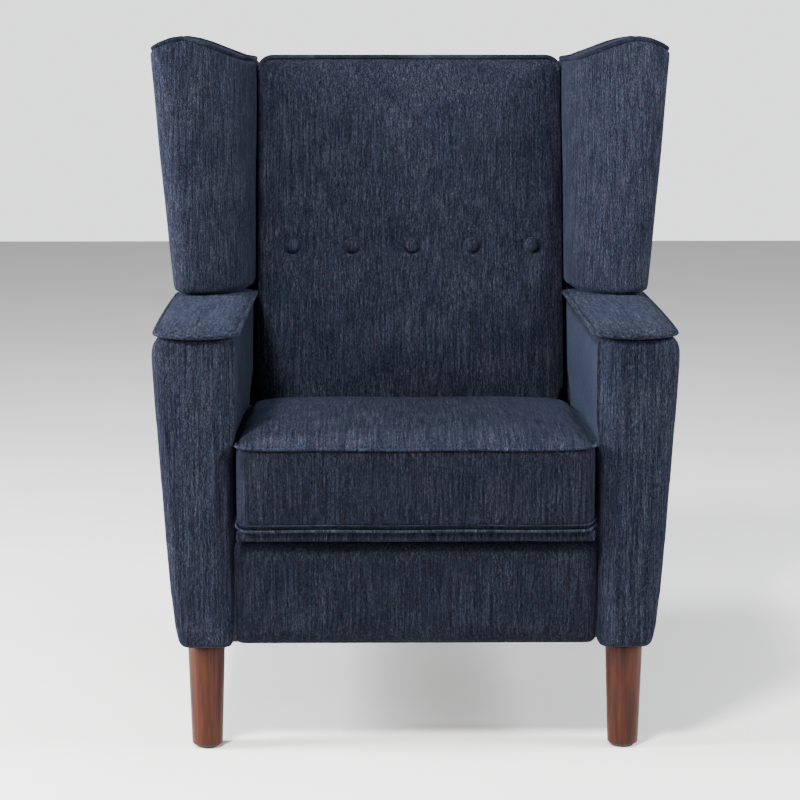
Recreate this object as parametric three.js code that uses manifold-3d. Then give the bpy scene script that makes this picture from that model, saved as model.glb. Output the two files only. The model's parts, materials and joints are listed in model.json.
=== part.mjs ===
// Push-back wing recliner: upholstered base, reclining winged back, box seat on swing links,
// and a footrest on folding links. Millimetres, +Z up, the front of the chair faces -Y.
import * as THREE from 'three';
import { mergeVertices } from 'three/addons/utils/BufferGeometryUtils.js';
import Module from 'manifold-3d';

const wasm = await Module();
wasm.setup();

// ---- Driving dimensions -------------------------------------------------------------------

const GAP = 0.3;                     // air between neighbouring pieces
const OVERLAP = 1;                   // how far a cut or a joined solid reaches past the other

// Base and arms
const ARM_INNER_X = 268;
const ARM_FRONT_Y = -395;
const ARM_REAR_Y = 330;
const ARM_BOTTOM_Z = 158;
const ARM_TOP_Z = 620;
const ARM_REAR_TOP_Y = 203;          // where the arm top meets the leaning back
const ARM_REAR_SLOPE = 0.268;        // the arm's rear edge leans with the back
const ARM_WAIST_Z = 437;             // foot of that rear edge
const HINGE_COVER_R = 32;            // the arm rises around the back's pivot
const HINGE_COVER_FOOT = 4;          // how far the hump's foot is drawn in
const BASE_REAR_TOP_Z = 345;
const PAD_THICKNESS = 14;
const PAD_INNER_X = 258;
const PAD_OUTER_X = 380;             // at the front; it widens towards the rear
const PAD_REAR_OUTER_X = 388;
const PAD_FRONT_Y = -403;
const PAD_REAR_Y = 196;
const PAD_CORNER = 26;
const POCKET_X = [291.5, 333.5];     // hollow of the arm that takes its wooden frame
const POCKET_EASE = 0.5;
const ARM_WALL = 28;
const FRAME_PANEL = 20;
const BASE_BLOCK_TOP_Z = 200;
const CROSS_RAIL = { middle: [0, 32], rear: [270, 300], low: 160, top: 184 };
const REAR_PANEL = { rearInset: 2, topDrop: 3 };

// Legs
const LEG_X = 311;
const LEG_Y = [-350, 295];
const LEG_TOP_R = 27.5;
const LEG_BOTTOM_R = 22.8;
const STUD_R = 4;
const STUD_TOP_Z = 188;
const LEG_CHAMFER = 1.5;
const GLIDE_HEIGHT = 3.7;
const GLIDE_R = 17;
const GLIDE_CHAMFER = 1;

// Seat
const SEAT_HALF_X = 264;
const SEAT_FRONT_Y = -410;
const SEAT_BOTTOM_Z = 333;
const SEAT_EDGE_Z = 456;
const SEAT_CROWN_Z = 488;
const SEAT_FRAME = { halfX: 243.4, front: -318, rear: 86, bottom: 300, top: 328, rail: 45 };
const SPRING = { wire: 3.6, count: 4, step: 39, swing: 24, edge: 60, clip: 12, tiedTurns: [3, 6] };
const SEAT_REAR_AIR = { low: 7, high: 9, rise: 8 };      // room for the back, below and above
const FLAP = { sideInset: 2, set: [5, 12], footrestAir: 1.5 };

// Back, in a frame that leans with it: x across, y through, z up the cushion
const LEAN = THREE.MathUtils.degToRad(15);
const BACK_FACE_Y = 132;
const BACK_LEVEL_Z = 450;
const CUSHION_HALF_X = 258;
const CUSHION_FOOT = { halfX: 248, top: 20 };    // narrower between the hinges
const CUSHION_DEPTH = 83;
const CUSHION_LOW_Z = -110;
const CUSHION_TOP_Z = 590;
const CUSHION_CORNER = 30;
const BACK_FRAME = { halfX: 251.2, front: 88, rear: 112, low: -105, top: 568, rail: 48 };
const BACK_PANEL = {
  front: 115, rear: 128, wideX: 296, narrowX: 262, low: -105, step: 0, top: 583, corner: 40,
};
const BUTTON_Z = 263;
const BUTTON_ROW_X = 4;              // the row sits a little off centre
const BUTTON_PITCH = 101;
const BUTTON_COUNT = 5;
const BUTTON_R = 13;
const BUTTON_HEIGHT = 8;
const DIMPLE = { mouthR: 34, floorR: 15, depth: 17 };
const STRAP = { thickness: 2.4, width: 50, rows: 4, firstZ: 80, pitch: 150, uprightX: 100, inset: 18 };

// Wings
const WING_BOTTOM_Z = 637;
const WING_BOTTOM_OUTER_X = 379;
const WING_FLARE = 48;               // how much further out the wing stands at its top
const WING_FLARE_HEIGHT = 393;
const WING_INNER_X = 260;
const WING_NOSE = { y: -112, r: 28 };
const WING_REAR = { x: 302, y: 112 };
const WING_VIEW_Y = [-100, 500];     // depth that holds every wing section
const WING_EAR_Z = 1029;             // top edge: at its outer corner, its peak and the cushion
const WING_PEAK = [375, 1050];
const WING_INNER_TOP_Z = 1000;
const WING_LEVELS = { first: 120, pitch: 92, count: 7 };
const SIDE_PAD = { inner: 263, front: 37, low: -8, top: 260 };

// Steel linkage: flat bars in five planes, counted inwards from the arm
const PLANE_PITCH = 6;
const BAR_THICKNESS = 4;
const PLANE_0_OUTER = 267.5;
const PIN_R = 4;
const PIN_CLEARANCE = 0.4;
const HEAD_R = 7;
const HEAD_THICKNESS = 1.2;
const BAR_HALF = 8.5;
const SWING_HALF = 12;
const TUBE = { r: 8, boreR: 6.2 };
const RAIL = { low: 190, top: 228, overhang: 20, earR: 16, earRear: 26, earFront: 30, collarR: 9 };
const PLATE = { reach: 14, rearLean: 14, flangeInnerX: 215, flange: [-270, 60], sheet: 3 };
const SLOT = { half: 8, low: [-1, -7], high: [4, 12] };          // about the push pin
const SLOT_LOBE = { root: [62, 281], half: 21, spacerY: [50, 80], spacerZ: [268, 296] };
const BRACKET = { armHalf: 11, hubR: 15, lowOnFrame: 30, highOnFrame: 18, heel: [-6, -30], toe: [-8, 12] };

// Pivots in the side view, [y, z]
const BACK_PIVOT = [170, 395];
const BACK_PUSH_PIN = [150, 277];
const SWING_LENGTH = 80;
const SWING_REST_LEAN = THREE.MathUtils.degToRad(40);
const FRONT_SWING_FOOT = [-230, 205];
const REAR_SWING_FOOT = [20, 205];
const LINK_LENGTH = 185;
const LINK_REST = THREE.MathUtils.degToRad(-22);
const FRONT_LINK_PIVOT = [-285, 278];
const LINK_SPACING = [69.5, -8.5];
const CARRIER_REACH = [-221.5, 81.3];

const offset = (point, by) => [point[0] + by[0], point[1] + by[1]];
const swingTop = (foot) => offset(foot, [
  SWING_LENGTH * Math.sin(SWING_REST_LEAN), SWING_LENGTH * Math.cos(SWING_REST_LEAN)]);
const FRONT_SWING_TOP = swingTop(FRONT_SWING_FOOT);
const REAR_SWING_TOP = swingTop(REAR_SWING_FOOT);
const REAR_LINK_PIVOT = offset(FRONT_LINK_PIVOT, LINK_SPACING);
const FRONT_LINK_END = offset(FRONT_LINK_PIVOT, [
  LINK_LENGTH * Math.cos(LINK_REST), LINK_LENGTH * Math.sin(LINK_REST)]);
const REAR_LINK_END = offset(FRONT_LINK_END, LINK_SPACING);
const FOOTREST_PIVOT = offset(FRONT_LINK_END, CARRIER_REACH);

// Footrest
const FOOTREST = { halfX: 265, front: -395, padRear: -366, boardRear: -353, low: 168, top: 320 };
const BOARD = { halfX: 250, inset: 8 };
const FOOT_BRACKET = { heelDrop: 75, toeDrop: 62, toeReach: 3, eyeR: 12 };

// ---- Materials ----------------------------------------------------------------------------

const finish = (color, roughness, metalness = 0) =>
  new THREE.MeshStandardMaterial({ color, roughness, metalness });

const FABRIC = finish(0x252c3f, 0.9);
const BUTTON_FABRIC = finish(0x202637, 0.85);
const LEG_WOOD = finish(0x5c2d1c, 0.4);
const FRAME_WOOD = finish(0xb08d5e, 0.75);
const STEEL = finish(0x4a4d52, 0.45, 0.8);
const SPRING_STEEL = finish(0x8a8d90, 0.4, 0.9);
const WEBBING = finish(0x1c1c1e, 0.9);
const GLIDE_PLASTIC = finish(0x1a1a1a, 0.6);

// ---- Shape tools --------------------------------------------------------------------------

const model = new THREE.Group();
const AXIS = {
  x: new THREE.Vector3(1, 0, 0), y: new THREE.Vector3(0, 1, 0), z: new THREE.Vector3(0, 0, 1),
};
const SIDES = [['left', -1], ['right', 1]];

function solidOf(geometry) {
  const bare = geometry.clone();
  bare.deleteAttribute('normal');
  bare.deleteAttribute('uv');
  const merged = mergeVertices(bare);
  return new wasm.Manifold(new wasm.Mesh({
    numProp: 3,
    vertProperties: new Float32Array(merged.attributes.position.array),
    triVerts: new Uint32Array(merged.index.array),
  }));
}

function geometryOf(solid) {
  const mesh = solid.getMesh();
  const geometry = new THREE.BufferGeometry();
  geometry.setAttribute('position', new THREE.BufferAttribute(mesh.vertProperties, 3));
  geometry.setIndex(new THREE.BufferAttribute(mesh.triVerts, 1));
  return geometry;
}

const joined = (solids) => solids.reduce((whole, next) => whole.add(next));
const cut = (solid, tools) => tools.reduce((left, tool) => left.subtract(tool), solid);

function shapeOf(outline) {
  if (outline instanceof THREE.Shape) return outline;
  return new THREE.Shape(outline.map((p) => new THREE.Vector2(...p)));
}

function extruded(outline, depth, curveSegments) {
  return new THREE.ExtrudeGeometry(shapeOf(outline), { depth, curveSegments, bevelEnabled: false });
}

// A [y, z] outline, carried across the chair from x = from to x = to
function acrossX(outline, from, to, curveSegments = 6) {
  const geometry = extruded(outline, to - from, curveSegments);
  geometry.applyMatrix4(new THREE.Matrix4().makeBasis(AXIS.y, AXIS.z, AXIS.x));
  return solidOf(geometry.translate(from, 0, 0));
}

// An [x, z] outline, carried from y = from (front) to y = to (rear)
function alongY(outline, from, to, curveSegments = 6) {
  const geometry = extruded(outline, to - from, curveSegments);
  geometry.applyMatrix4(new THREE.Matrix4().makeBasis(AXIS.x, AXIS.z, AXIS.y.clone().negate()));
  return solidOf(geometry.translate(0, to, 0));
}

// An [x, y] outline, carried up from z = from to z = to
function upZ(outline, from, to, curveSegments = 6) {
  return solidOf(extruded(outline, to - from, curveSegments).translate(0, 0, from));
}

function block(x, y, z) {
  const geometry = new THREE.BoxGeometry(x[1] - x[0], y[1] - y[0], z[1] - z[0]);
  return solidOf(geometry.translate((x[0] + x[1]) / 2, (y[0] + y[1]) / 2, (z[0] + z[1]) / 2));
}

function rodX([y, z], radius, from, to, segments = 12) {
  const geometry = new THREE.CylinderGeometry(radius, radius, to - from, segments);
  return solidOf(geometry.rotateZ(Math.PI / 2).translate((from + to) / 2, y, z));
}

// A round-ended bar between two points of the side view
function barOutline(a, b, half) {
  const angle = Math.atan2(b[1] - a[1], b[0] - a[0]);
  const shape = new THREE.Shape();
  shape.absarc(b[0], b[1], half, angle - Math.PI / 2, angle + Math.PI / 2);
  shape.absarc(a[0], a[1], half, angle + Math.PI / 2, angle + Math.PI * 1.5);
  return shape;
}

// Joins rings of equal length into a closed skin, with a flat cap at each end
function lofted(rings) {
  const count = rings[0].length;
  const index = [];
  for (let row = 0; row + 1 < rings.length; row += 1) {
    for (let i = 0; i < count; i += 1) {
      const a = row * count + i;
      const b = row * count + ((i + 1) % count);
      index.push(a, b, b + count, a, b + count, a + count);
    }
  }
  const caps = [[0, true], [(rings.length - 1) * count, false]];
  for (const [first, facesDown] of caps) {
    const ring = facesDown ? rings[0] : rings[rings.length - 1];
    const faces = THREE.ShapeUtils.triangulateShape(ring.map(([x, y]) => new THREE.Vector2(x, y)), []);
    for (const [a, b, c] of faces) {
      index.push(...(facesDown ? [first + a, first + c, first + b] : [first + a, first + b, first + c]));
    }
  }
  const geometry = new THREE.BufferGeometry();
  geometry.setAttribute('position', new THREE.Float32BufferAttribute(rings.flat(2), 3));
  geometry.setIndex(index);
  return solidOf(geometry);
}

// The same piece for the other side of the chair
function mirroredX(geometry) {
  const other = geometry.clone().applyMatrix4(new THREE.Matrix4().makeScale(-1, 1, 1));
  const corners = other.index.array;
  for (let i = 0; i < corners.length; i += 3) {
    [corners[i + 1], corners[i + 2]] = [corners[i + 2], corners[i + 1]];
  }
  return other;
}

function addPiece(name, solid, material, group = model) {
  const geometry = solid instanceof THREE.BufferGeometry ? solid : geometryOf(solid);
  const mesh = new THREE.Mesh(geometry, material);
  mesh.name = name;
  group.add(mesh);
  return mesh;
}

function addPair(name, solid, material, group = model) {
  const geometry = geometryOf(solid);
  for (const [side, sign] of SIDES) {
    addPiece(`${name}_${side}`, sign > 0 ? geometry : mirroredX(geometry), material, group);
  }
}

// ---- Arms ---------------------------------------------------------------------------------

const armRearY = (z) => ARM_REAR_TOP_Y - (ARM_TOP_Z - z) * ARM_REAR_SLOPE;

// Side view of the base: low behind, a hump over the back's pivot, and the arm itself
function armProfile() {
  const hump = [43, 65, 85, 105].map((degrees) => {
    const a = THREE.MathUtils.degToRad(degrees);
    return [BACK_PIVOT[0] + HINGE_COVER_R * Math.cos(a), BACK_PIVOT[1] + HINGE_COVER_R * Math.sin(a)];
  });
  return [
    [ARM_FRONT_Y, ARM_BOTTOM_Z - OVERLAP], [ARM_REAR_Y, ARM_BOTTOM_Z - OVERLAP],
    [ARM_REAR_Y, BASE_REAR_TOP_Z],
    [hump[0][0] + hump[0][1] - BASE_REAR_TOP_Z - HINGE_COVER_FOOT, BASE_REAR_TOP_Z], ...hump,
    [armRearY(ARM_WAIST_Z), ARM_WAIST_Z], [ARM_REAR_TOP_Y, ARM_TOP_Z], [ARM_FRONT_Y, ARM_TOP_Z],
  ];
}

// Side view of the hollow inside it, a wall's thickness in from the skin
function pocketProfile(wall) {
  const [top, step] = [ARM_TOP_Z - wall, BASE_REAR_TOP_Z - wall];
  return [
    [ARM_FRONT_Y + wall, ARM_BOTTOM_Z - OVERLAP], [ARM_REAR_Y - wall, ARM_BOTTOM_Z - OVERLAP],
    [ARM_REAR_Y - wall, step], [armRearY(step) - wall, step], [armRearY(top) - wall, top],
    [ARM_FRONT_Y + wall, top],
  ];
}

// Front view of an arm: flat inside, flared outside, rounded under
const ARM_SECTION = [
  [ARM_INNER_X, ARM_BOTTOM_Z], [338, ARM_BOTTOM_Z], [345, 164], [350, 181], [356, 234], [360, 290],
  [379, 596], [377, 612], [368, ARM_TOP_Z], [ARM_INNER_X, ARM_TOP_Z],
];

function buildArms() {
  const skin = alongY(ARM_SECTION, ARM_FRONT_Y, ARM_REAR_Y);
  const side = acrossX(armProfile(), ARM_INNER_X - OVERLAP, PAD_REAR_OUTER_X);
  const pocket = acrossX(pocketProfile(ARM_WALL), ...POCKET_X);
  addPair('arm_cover', cut(skin.intersect(side), [pocket]), FABRIC);

  const [inner, outer] = [POCKET_X[0] + POCKET_EASE, POCKET_X[1] - POCKET_EASE];
  const wall = ARM_WALL + POCKET_EASE;
  const panel = acrossX(pocketProfile(wall), inner, inner + FRAME_PANEL);
  const base = block([inner, outer], [ARM_FRONT_Y + wall, ARM_REAR_Y - wall],
    [ARM_BOTTOM_Z, BASE_BLOCK_TOP_Z]);
  const underside = block([inner - OVERLAP, outer + OVERLAP], [ARM_FRONT_Y, ARM_REAR_Y],
    [ARM_BOTTOM_Z - 2 * OVERLAP, ARM_BOTTOM_Z + GAP]);
  const holeR = STUD_R + GAP;
  const studHoles = LEG_Y.map((y) => solidOf(
    new THREE.CylinderGeometry(holeR, holeR, 2 * (BASE_BLOCK_TOP_Z - ARM_BOTTOM_Z + OVERLAP), 12)
      .rotateX(Math.PI / 2).translate(LEG_X, y, ARM_BOTTOM_Z)));
  addPair('arm_frame', cut(panel.add(base), [underside, ...studHoles]), FRAME_WOOD);

  const plan = new THREE.Shape();
  const corner = PAD_CORNER;
  plan.moveTo(PAD_INNER_X, PAD_REAR_Y);
  plan.lineTo(PAD_INNER_X, PAD_FRONT_Y + corner);
  plan.quadraticCurveTo(PAD_INNER_X, PAD_FRONT_Y, PAD_INNER_X + corner, PAD_FRONT_Y);
  plan.lineTo(PAD_OUTER_X - corner, PAD_FRONT_Y);
  plan.quadraticCurveTo(PAD_OUTER_X, PAD_FRONT_Y, PAD_OUTER_X, PAD_FRONT_Y + corner);
  plan.lineTo(PAD_REAR_OUTER_X, PAD_REAR_Y);
  addPair('armrest_pad', upZ(plan, ARM_TOP_Z + GAP, ARM_TOP_Z + GAP + PAD_THICKNESS), FABRIC);
}

function buildCrossRails() {
  const reach = ARM_INNER_X - GAP;
  const { middle, rear, low, top } = CROSS_RAIL;
  addPiece('middle_cross_rail', block([-reach, reach], middle, [low, top]), FRAME_WOOD);
  addPiece('rear_cross_rail', block([-reach, reach], rear, [low, top]), FRAME_WOOD);
  addPiece('rear_base_panel', block([-reach, reach],
    [rear[1] + GAP, ARM_REAR_Y - REAR_PANEL.rearInset],
    [ARM_BOTTOM_Z, BASE_REAR_TOP_Z - REAR_PANEL.topDrop]), FABRIC);
}

function buildLegs() {
  const top = ARM_BOTTOM_Z - GAP;
  const foot = GLIDE_HEIGHT + GAP;
  const profile = [
    [0, foot], [LEG_BOTTOM_R - LEG_CHAMFER, foot], [LEG_BOTTOM_R, foot + LEG_CHAMFER],
    [LEG_TOP_R, top - LEG_CHAMFER], [LEG_TOP_R - LEG_CHAMFER, top],
    [STUD_R, top], [STUD_R, STUD_TOP_Z], [0, STUD_TOP_Z],
  ].map((p) => new THREE.Vector2(...p));
  const glide = [[0, 0], [GLIDE_R - GLIDE_CHAMFER, 0], [GLIDE_R, GLIDE_CHAMFER],
    [GLIDE_R, GLIDE_HEIGHT], [0, GLIDE_HEIGHT]].map((p) => new THREE.Vector2(...p));
  for (const [side, sign] of SIDES) {
    for (const [place, y] of [['front', LEG_Y[0]], ['rear', LEG_Y[1]]]) {
      const leg = solidOf(new THREE.LatheGeometry(profile, 24).rotateX(Math.PI / 2));
      addPiece(`leg_${place}_${side}`, leg, LEG_WOOD).position.set(sign * LEG_X, y, 0);
      const foot = solidOf(new THREE.LatheGeometry(glide, 24).rotateX(Math.PI / 2));
      addPiece(`glide_${place}_${side}`, foot, GLIDE_PLASTIC).position.set(sign * LEG_X, y, 0);
    }
  }
}

// ---- Steel linkage ------------------------------------------------------------------------

const planeOuter = (plane) => PLANE_0_OUTER - PLANE_PITCH * plane;
const planeInner = (plane) => planeOuter(plane) - BAR_THICKNESS;
const inPlane = (plane, outline) => acrossX(outline, planeInner(plane), planeOuter(plane));
const pivotHole = (at, plane) =>
  rodX(at, PIN_R + PIN_CLEARANCE, planeInner(plane) - OVERLAP, planeOuter(plane) + OVERLAP);
const crossTube = (at, reach) =>
  cut(rodX(at, TUBE.r, -reach, reach), [rodX(at, TUBE.boreR, -reach - OVERLAP, reach + OVERLAP)]);
const midpoint = (a, b) => [(a[0] + b[0]) / 2, (a[1] + b[1]) / 2];

// A riveted pin from one plane through another, with a head beyond it
function pin(at, from, through) {
  const inwards = through > from;
  const near = inwards ? planeInner(from) + OVERLAP : planeOuter(from) - OVERLAP;
  const beyond = inwards ? planeInner(through) - PIN_CLEARANCE : planeOuter(through) + PIN_CLEARANCE;
  const far = beyond + (inwards ? -HEAD_THICKNESS : HEAD_THICKNESS);
  const shaft = rodX(at, PIN_R, Math.min(near, far), Math.max(near, far));
  return shaft.add(rodX(at, HEAD_R, Math.min(beyond, far), Math.max(beyond, far)));
}

function buildRails() {
  const [y, z] = BACK_PIVOT;
  const front = FRONT_SWING_FOOT[0] - RAIL.overhang;
  const outline = new THREE.Shape();
  outline.moveTo(front, RAIL.low);
  outline.lineTo(y + RAIL.earRear, RAIL.low);
  outline.absarc(y, z, RAIL.earR, 0, Math.PI);
  outline.lineTo(y - RAIL.earFront, RAIL.top);
  outline.lineTo(front, RAIL.top);
  const collar = rodX(BACK_PIVOT, RAIL.collarR, planeOuter(2) + PIN_CLEARANCE, planeInner(0) + OVERLAP);
  const rail = joined([inPlane(0, outline), collar, pin(BACK_PIVOT, 0, 2),
    pin(FRONT_SWING_FOOT, 0, 1), pin(REAR_SWING_FOOT, 0, 1)]);
  addPair('mechanism_rail', rail, STEEL);
}

function buildSwingLinks() {
  const places = [['front', FRONT_SWING_FOOT, FRONT_SWING_TOP], ['rear', REAR_SWING_FOOT, REAR_SWING_TOP]];
  for (const [place, foot, top] of places) {
    const link = cut(inPlane(1, barOutline(foot, top, SWING_HALF)), [pivotHole(foot, 1)]);
    addPair(`${place}_swing_link`, link.add(pin(top, 1, 2)), STEEL);
  }
  const middle = midpoint(REAR_SWING_FOOT, REAR_SWING_TOP);
  addPiece('swing_cross_tube', crossTube(middle, planeInner(1) - GAP), STEEL);
}

function buildSeatPlates() {
  const front = FRONT_LINK_PIVOT[0] - PLATE.reach;
  const rear = REAR_SWING_TOP[0] + PLATE.reach;
  const top = SEAT_FRAME.bottom - GAP;
  const low = FRONT_SWING_TOP[1] - SWING_HALF;
  const web = inPlane(2, [[front, low], [rear, low], [rear + PLATE.rearLean, top], [front, top]]);
  const flange = block([PLATE.flangeInnerX, planeOuter(2)], PLATE.flange, [top - PLATE.sheet, top]);
  const { root, half, spacerY, spacerZ } = SLOT_LOBE;
  const lobe = inPlane(3, barOutline(root, BACK_PUSH_PIN, half));
  const spacer = block([planeOuter(3) - OVERLAP, planeInner(2) + OVERLAP], spacerY, spacerZ);
  const slotEnds = [SLOT.low, SLOT.high].map((by) => offset(BACK_PUSH_PIN, by));
  const slot = acrossX(barOutline(...slotEnds, SLOT.half),
    planeInner(3) - OVERLAP, planeOuter(3) + OVERLAP);
  const swingHoles = [FRONT_SWING_TOP, REAR_SWING_TOP].map((at) => pivotHole(at, 2));
  const headRoom = rodX(REAR_SWING_TOP, HEAD_R + 2, planeInner(3) - OVERLAP, planeInner(2));
  const pins = [FRONT_LINK_PIVOT, REAR_LINK_PIVOT].map((at) => pin(at, 2, 3));
  const plate = cut(joined([web, flange, lobe, spacer]), [...swingHoles, slot, headRoom]);
  addPair('seat_plate', joined([plate, ...pins]), STEEL);
}

function buildFootrestLinks() {
  const front = cut(inPlane(3, barOutline(FRONT_LINK_PIVOT, FRONT_LINK_END, BAR_HALF)),
    [pivotHole(FRONT_LINK_PIVOT, 3)]);
  addPair('footrest_front_link', front.add(pin(FRONT_LINK_END, 3, 4)), STEEL);

  const rear = cut(inPlane(3, barOutline(REAR_LINK_PIVOT, REAR_LINK_END, BAR_HALF)),
    [pivotHole(REAR_LINK_PIVOT, 3)]);
  addPair('footrest_rear_link', rear.add(pin(REAR_LINK_END, 3, 4)), STEEL);

  const bars = [[REAR_LINK_END, FRONT_LINK_END], [FRONT_LINK_END, FOOTREST_PIVOT]]
    .map(([a, b]) => inPlane(4, barOutline(a, b, BAR_HALF)));
  const carrier = cut(joined(bars), [pivotHole(FRONT_LINK_END, 4), pivotHole(REAR_LINK_END, 4)]);
  addPair('footrest_carrier', carrier.add(pin(FOOTREST_PIVOT, 4, 3)), STEEL);

  const middle = offset(FRONT_LINK_END, CARRIER_REACH.map((v) => v / 2));
  addPiece('footrest_cross_tube', crossTube(middle, planeInner(4) - GAP), STEEL);
}

function buildFootrest() {
  const { halfX, front, padRear, boardRear, low, top } = FOOTREST;
  addPiece('footrest_pad', block([-halfX, halfX], [front, padRear], [low, top]), FABRIC);
  addPiece('footrest_board', block([-BOARD.halfX, BOARD.halfX], [padRear + GAP, boardRear],
    [low + BOARD.inset, top - BOARD.inset]), FRAME_WOOD);

  const [y, z] = FOOTREST_PIVOT;
  const { heelDrop, toeDrop, toeReach, eyeR } = FOOT_BRACKET;
  const bracket = new THREE.Shape();
  bracket.moveTo(boardRear + GAP, z - heelDrop);
  bracket.lineTo(y + toeReach, z - toeDrop);
  bracket.absarc(y, z, eyeR, 0, Math.PI / 2);
  bracket.lineTo(boardRear + GAP, z + eyeR);
  addPair('footrest_bracket', cut(inPlane(3, bracket), [pivotHole(FOOTREST_PIVOT, 3)]), STEEL);
}

// ---- Seat ---------------------------------------------------------------------------------

function buildSeat() {
  const { halfX, front, rear, bottom, top, rail } = SEAT_FRAME;
  const height = [bottom, top];
  for (const [side, sign] of SIDES) {
    const x = [sign * halfX, sign * (halfX - rail)].sort((a, b) => a - b);
    addPiece(`seat_side_rail_${side}`, block(x, [front, rear], height), FRAME_WOOD);
  }
  const between = [-halfX + rail + GAP, halfX - rail - GAP];
  addPiece('seat_front_rail', block(between, [front, front + rail], height), FRAME_WOOD);
  addPiece('seat_rear_rail', block(between, [rear - rail, rear], height), FRAME_WOOD);

  // Zigzag springs from front to rear, tied across by two straight wires
  const { wire, count, step, swing, edge } = SPRING;
  const wireZ = [top + GAP, top + GAP + wire];
  const [first, last] = [front + SPRING.clip, rear - SPRING.clip];
  const turns = Math.floor((last - first) / step);
  const pitch = (2 * (halfX - edge)) / (count - 1);
  const wires = [];
  for (let spring = 0; spring < count; spring += 1) {
    const x = -halfX + edge + spring * pitch;
    for (let turn = 0; turn <= turns; turn += 1) {
      const y = first + turn * step;
      wires.push(block([x - swing, x + swing], [y, y + wire], wireZ));
      const end = turn % 2 ? x - swing : x + swing - wire;
      if (turn < turns) wires.push(block([end, end + wire], [y, y + step + wire], wireZ));
    }
  }
  for (const turn of SPRING.tiedTurns) {
    const y = first + turn * step;
    wires.push(block([-halfX + edge, halfX - edge], [y, y + wire], wireZ));
  }
  addPiece('seat_springs', joined(wires), SPRING_STEEL);

  const air = SEAT_REAR_AIR;
  const rearLow = BACK_FACE_Y - air.low - (BACK_LEVEL_Z - SEAT_BOTTOM_Z) * Math.tan(LEAN);
  const rearHigh = BACK_FACE_Y - air.high + (SEAT_EDGE_Z - BACK_LEVEL_Z) * Math.tan(LEAN);
  const side = new THREE.Shape();
  side.moveTo(SEAT_FRONT_Y, SEAT_BOTTOM_Z);
  side.lineTo(rearLow, SEAT_BOTTOM_Z);
  side.lineTo(rearHigh, SEAT_EDGE_Z + air.rise);
  side.quadraticCurveTo(0, SEAT_CROWN_Z + 6, -180, SEAT_CROWN_Z);
  side.quadraticCurveTo(SEAT_FRONT_Y + 10, SEAT_CROWN_Z - 2, SEAT_FRONT_Y, SEAT_EDGE_Z);
  const across = new THREE.Shape();
  across.moveTo(-SEAT_HALF_X, SEAT_BOTTOM_Z);
  across.lineTo(SEAT_HALF_X, SEAT_BOTTOM_Z);
  across.lineTo(SEAT_HALF_X, SEAT_EDGE_Z);
  across.quadraticCurveTo(SEAT_HALF_X - 40, SEAT_CROWN_Z, 0, SEAT_CROWN_Z);
  across.quadraticCurveTo(-SEAT_HALF_X + 40, SEAT_CROWN_Z, -SEAT_HALF_X, SEAT_EDGE_Z);
  const body = acrossX(side, -SEAT_HALF_X - OVERLAP, SEAT_HALF_X + OVERLAP, 10)
    .intersect(alongY(across, SEAT_FRONT_Y - OVERLAP, BACK_FACE_Y + OVERLAP, 10));
  addPiece('seat_cushion', body, FABRIC);

  addPiece('seat_front_flap', block([-SEAT_HALF_X + FLAP.sideInset, SEAT_HALF_X - FLAP.sideInset],
    FLAP.set.map((by) => SEAT_FRONT_Y + by),
    [FOOTREST.top + FLAP.footrestAir, SEAT_BOTTOM_Z - GAP]), FABRIC);
}

// ---- Back ---------------------------------------------------------------------------------

function roundedPanel(halfX, low, top, corner) {
  const shape = new THREE.Shape();
  shape.moveTo(-halfX, low);
  shape.lineTo(halfX, low);
  shape.lineTo(halfX, top - corner);
  shape.absarc(halfX - corner, top - corner, corner, 0, Math.PI / 2);
  shape.absarc(-halfX + corner, top - corner, corner, Math.PI / 2, Math.PI);
  return shape;
}

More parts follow.
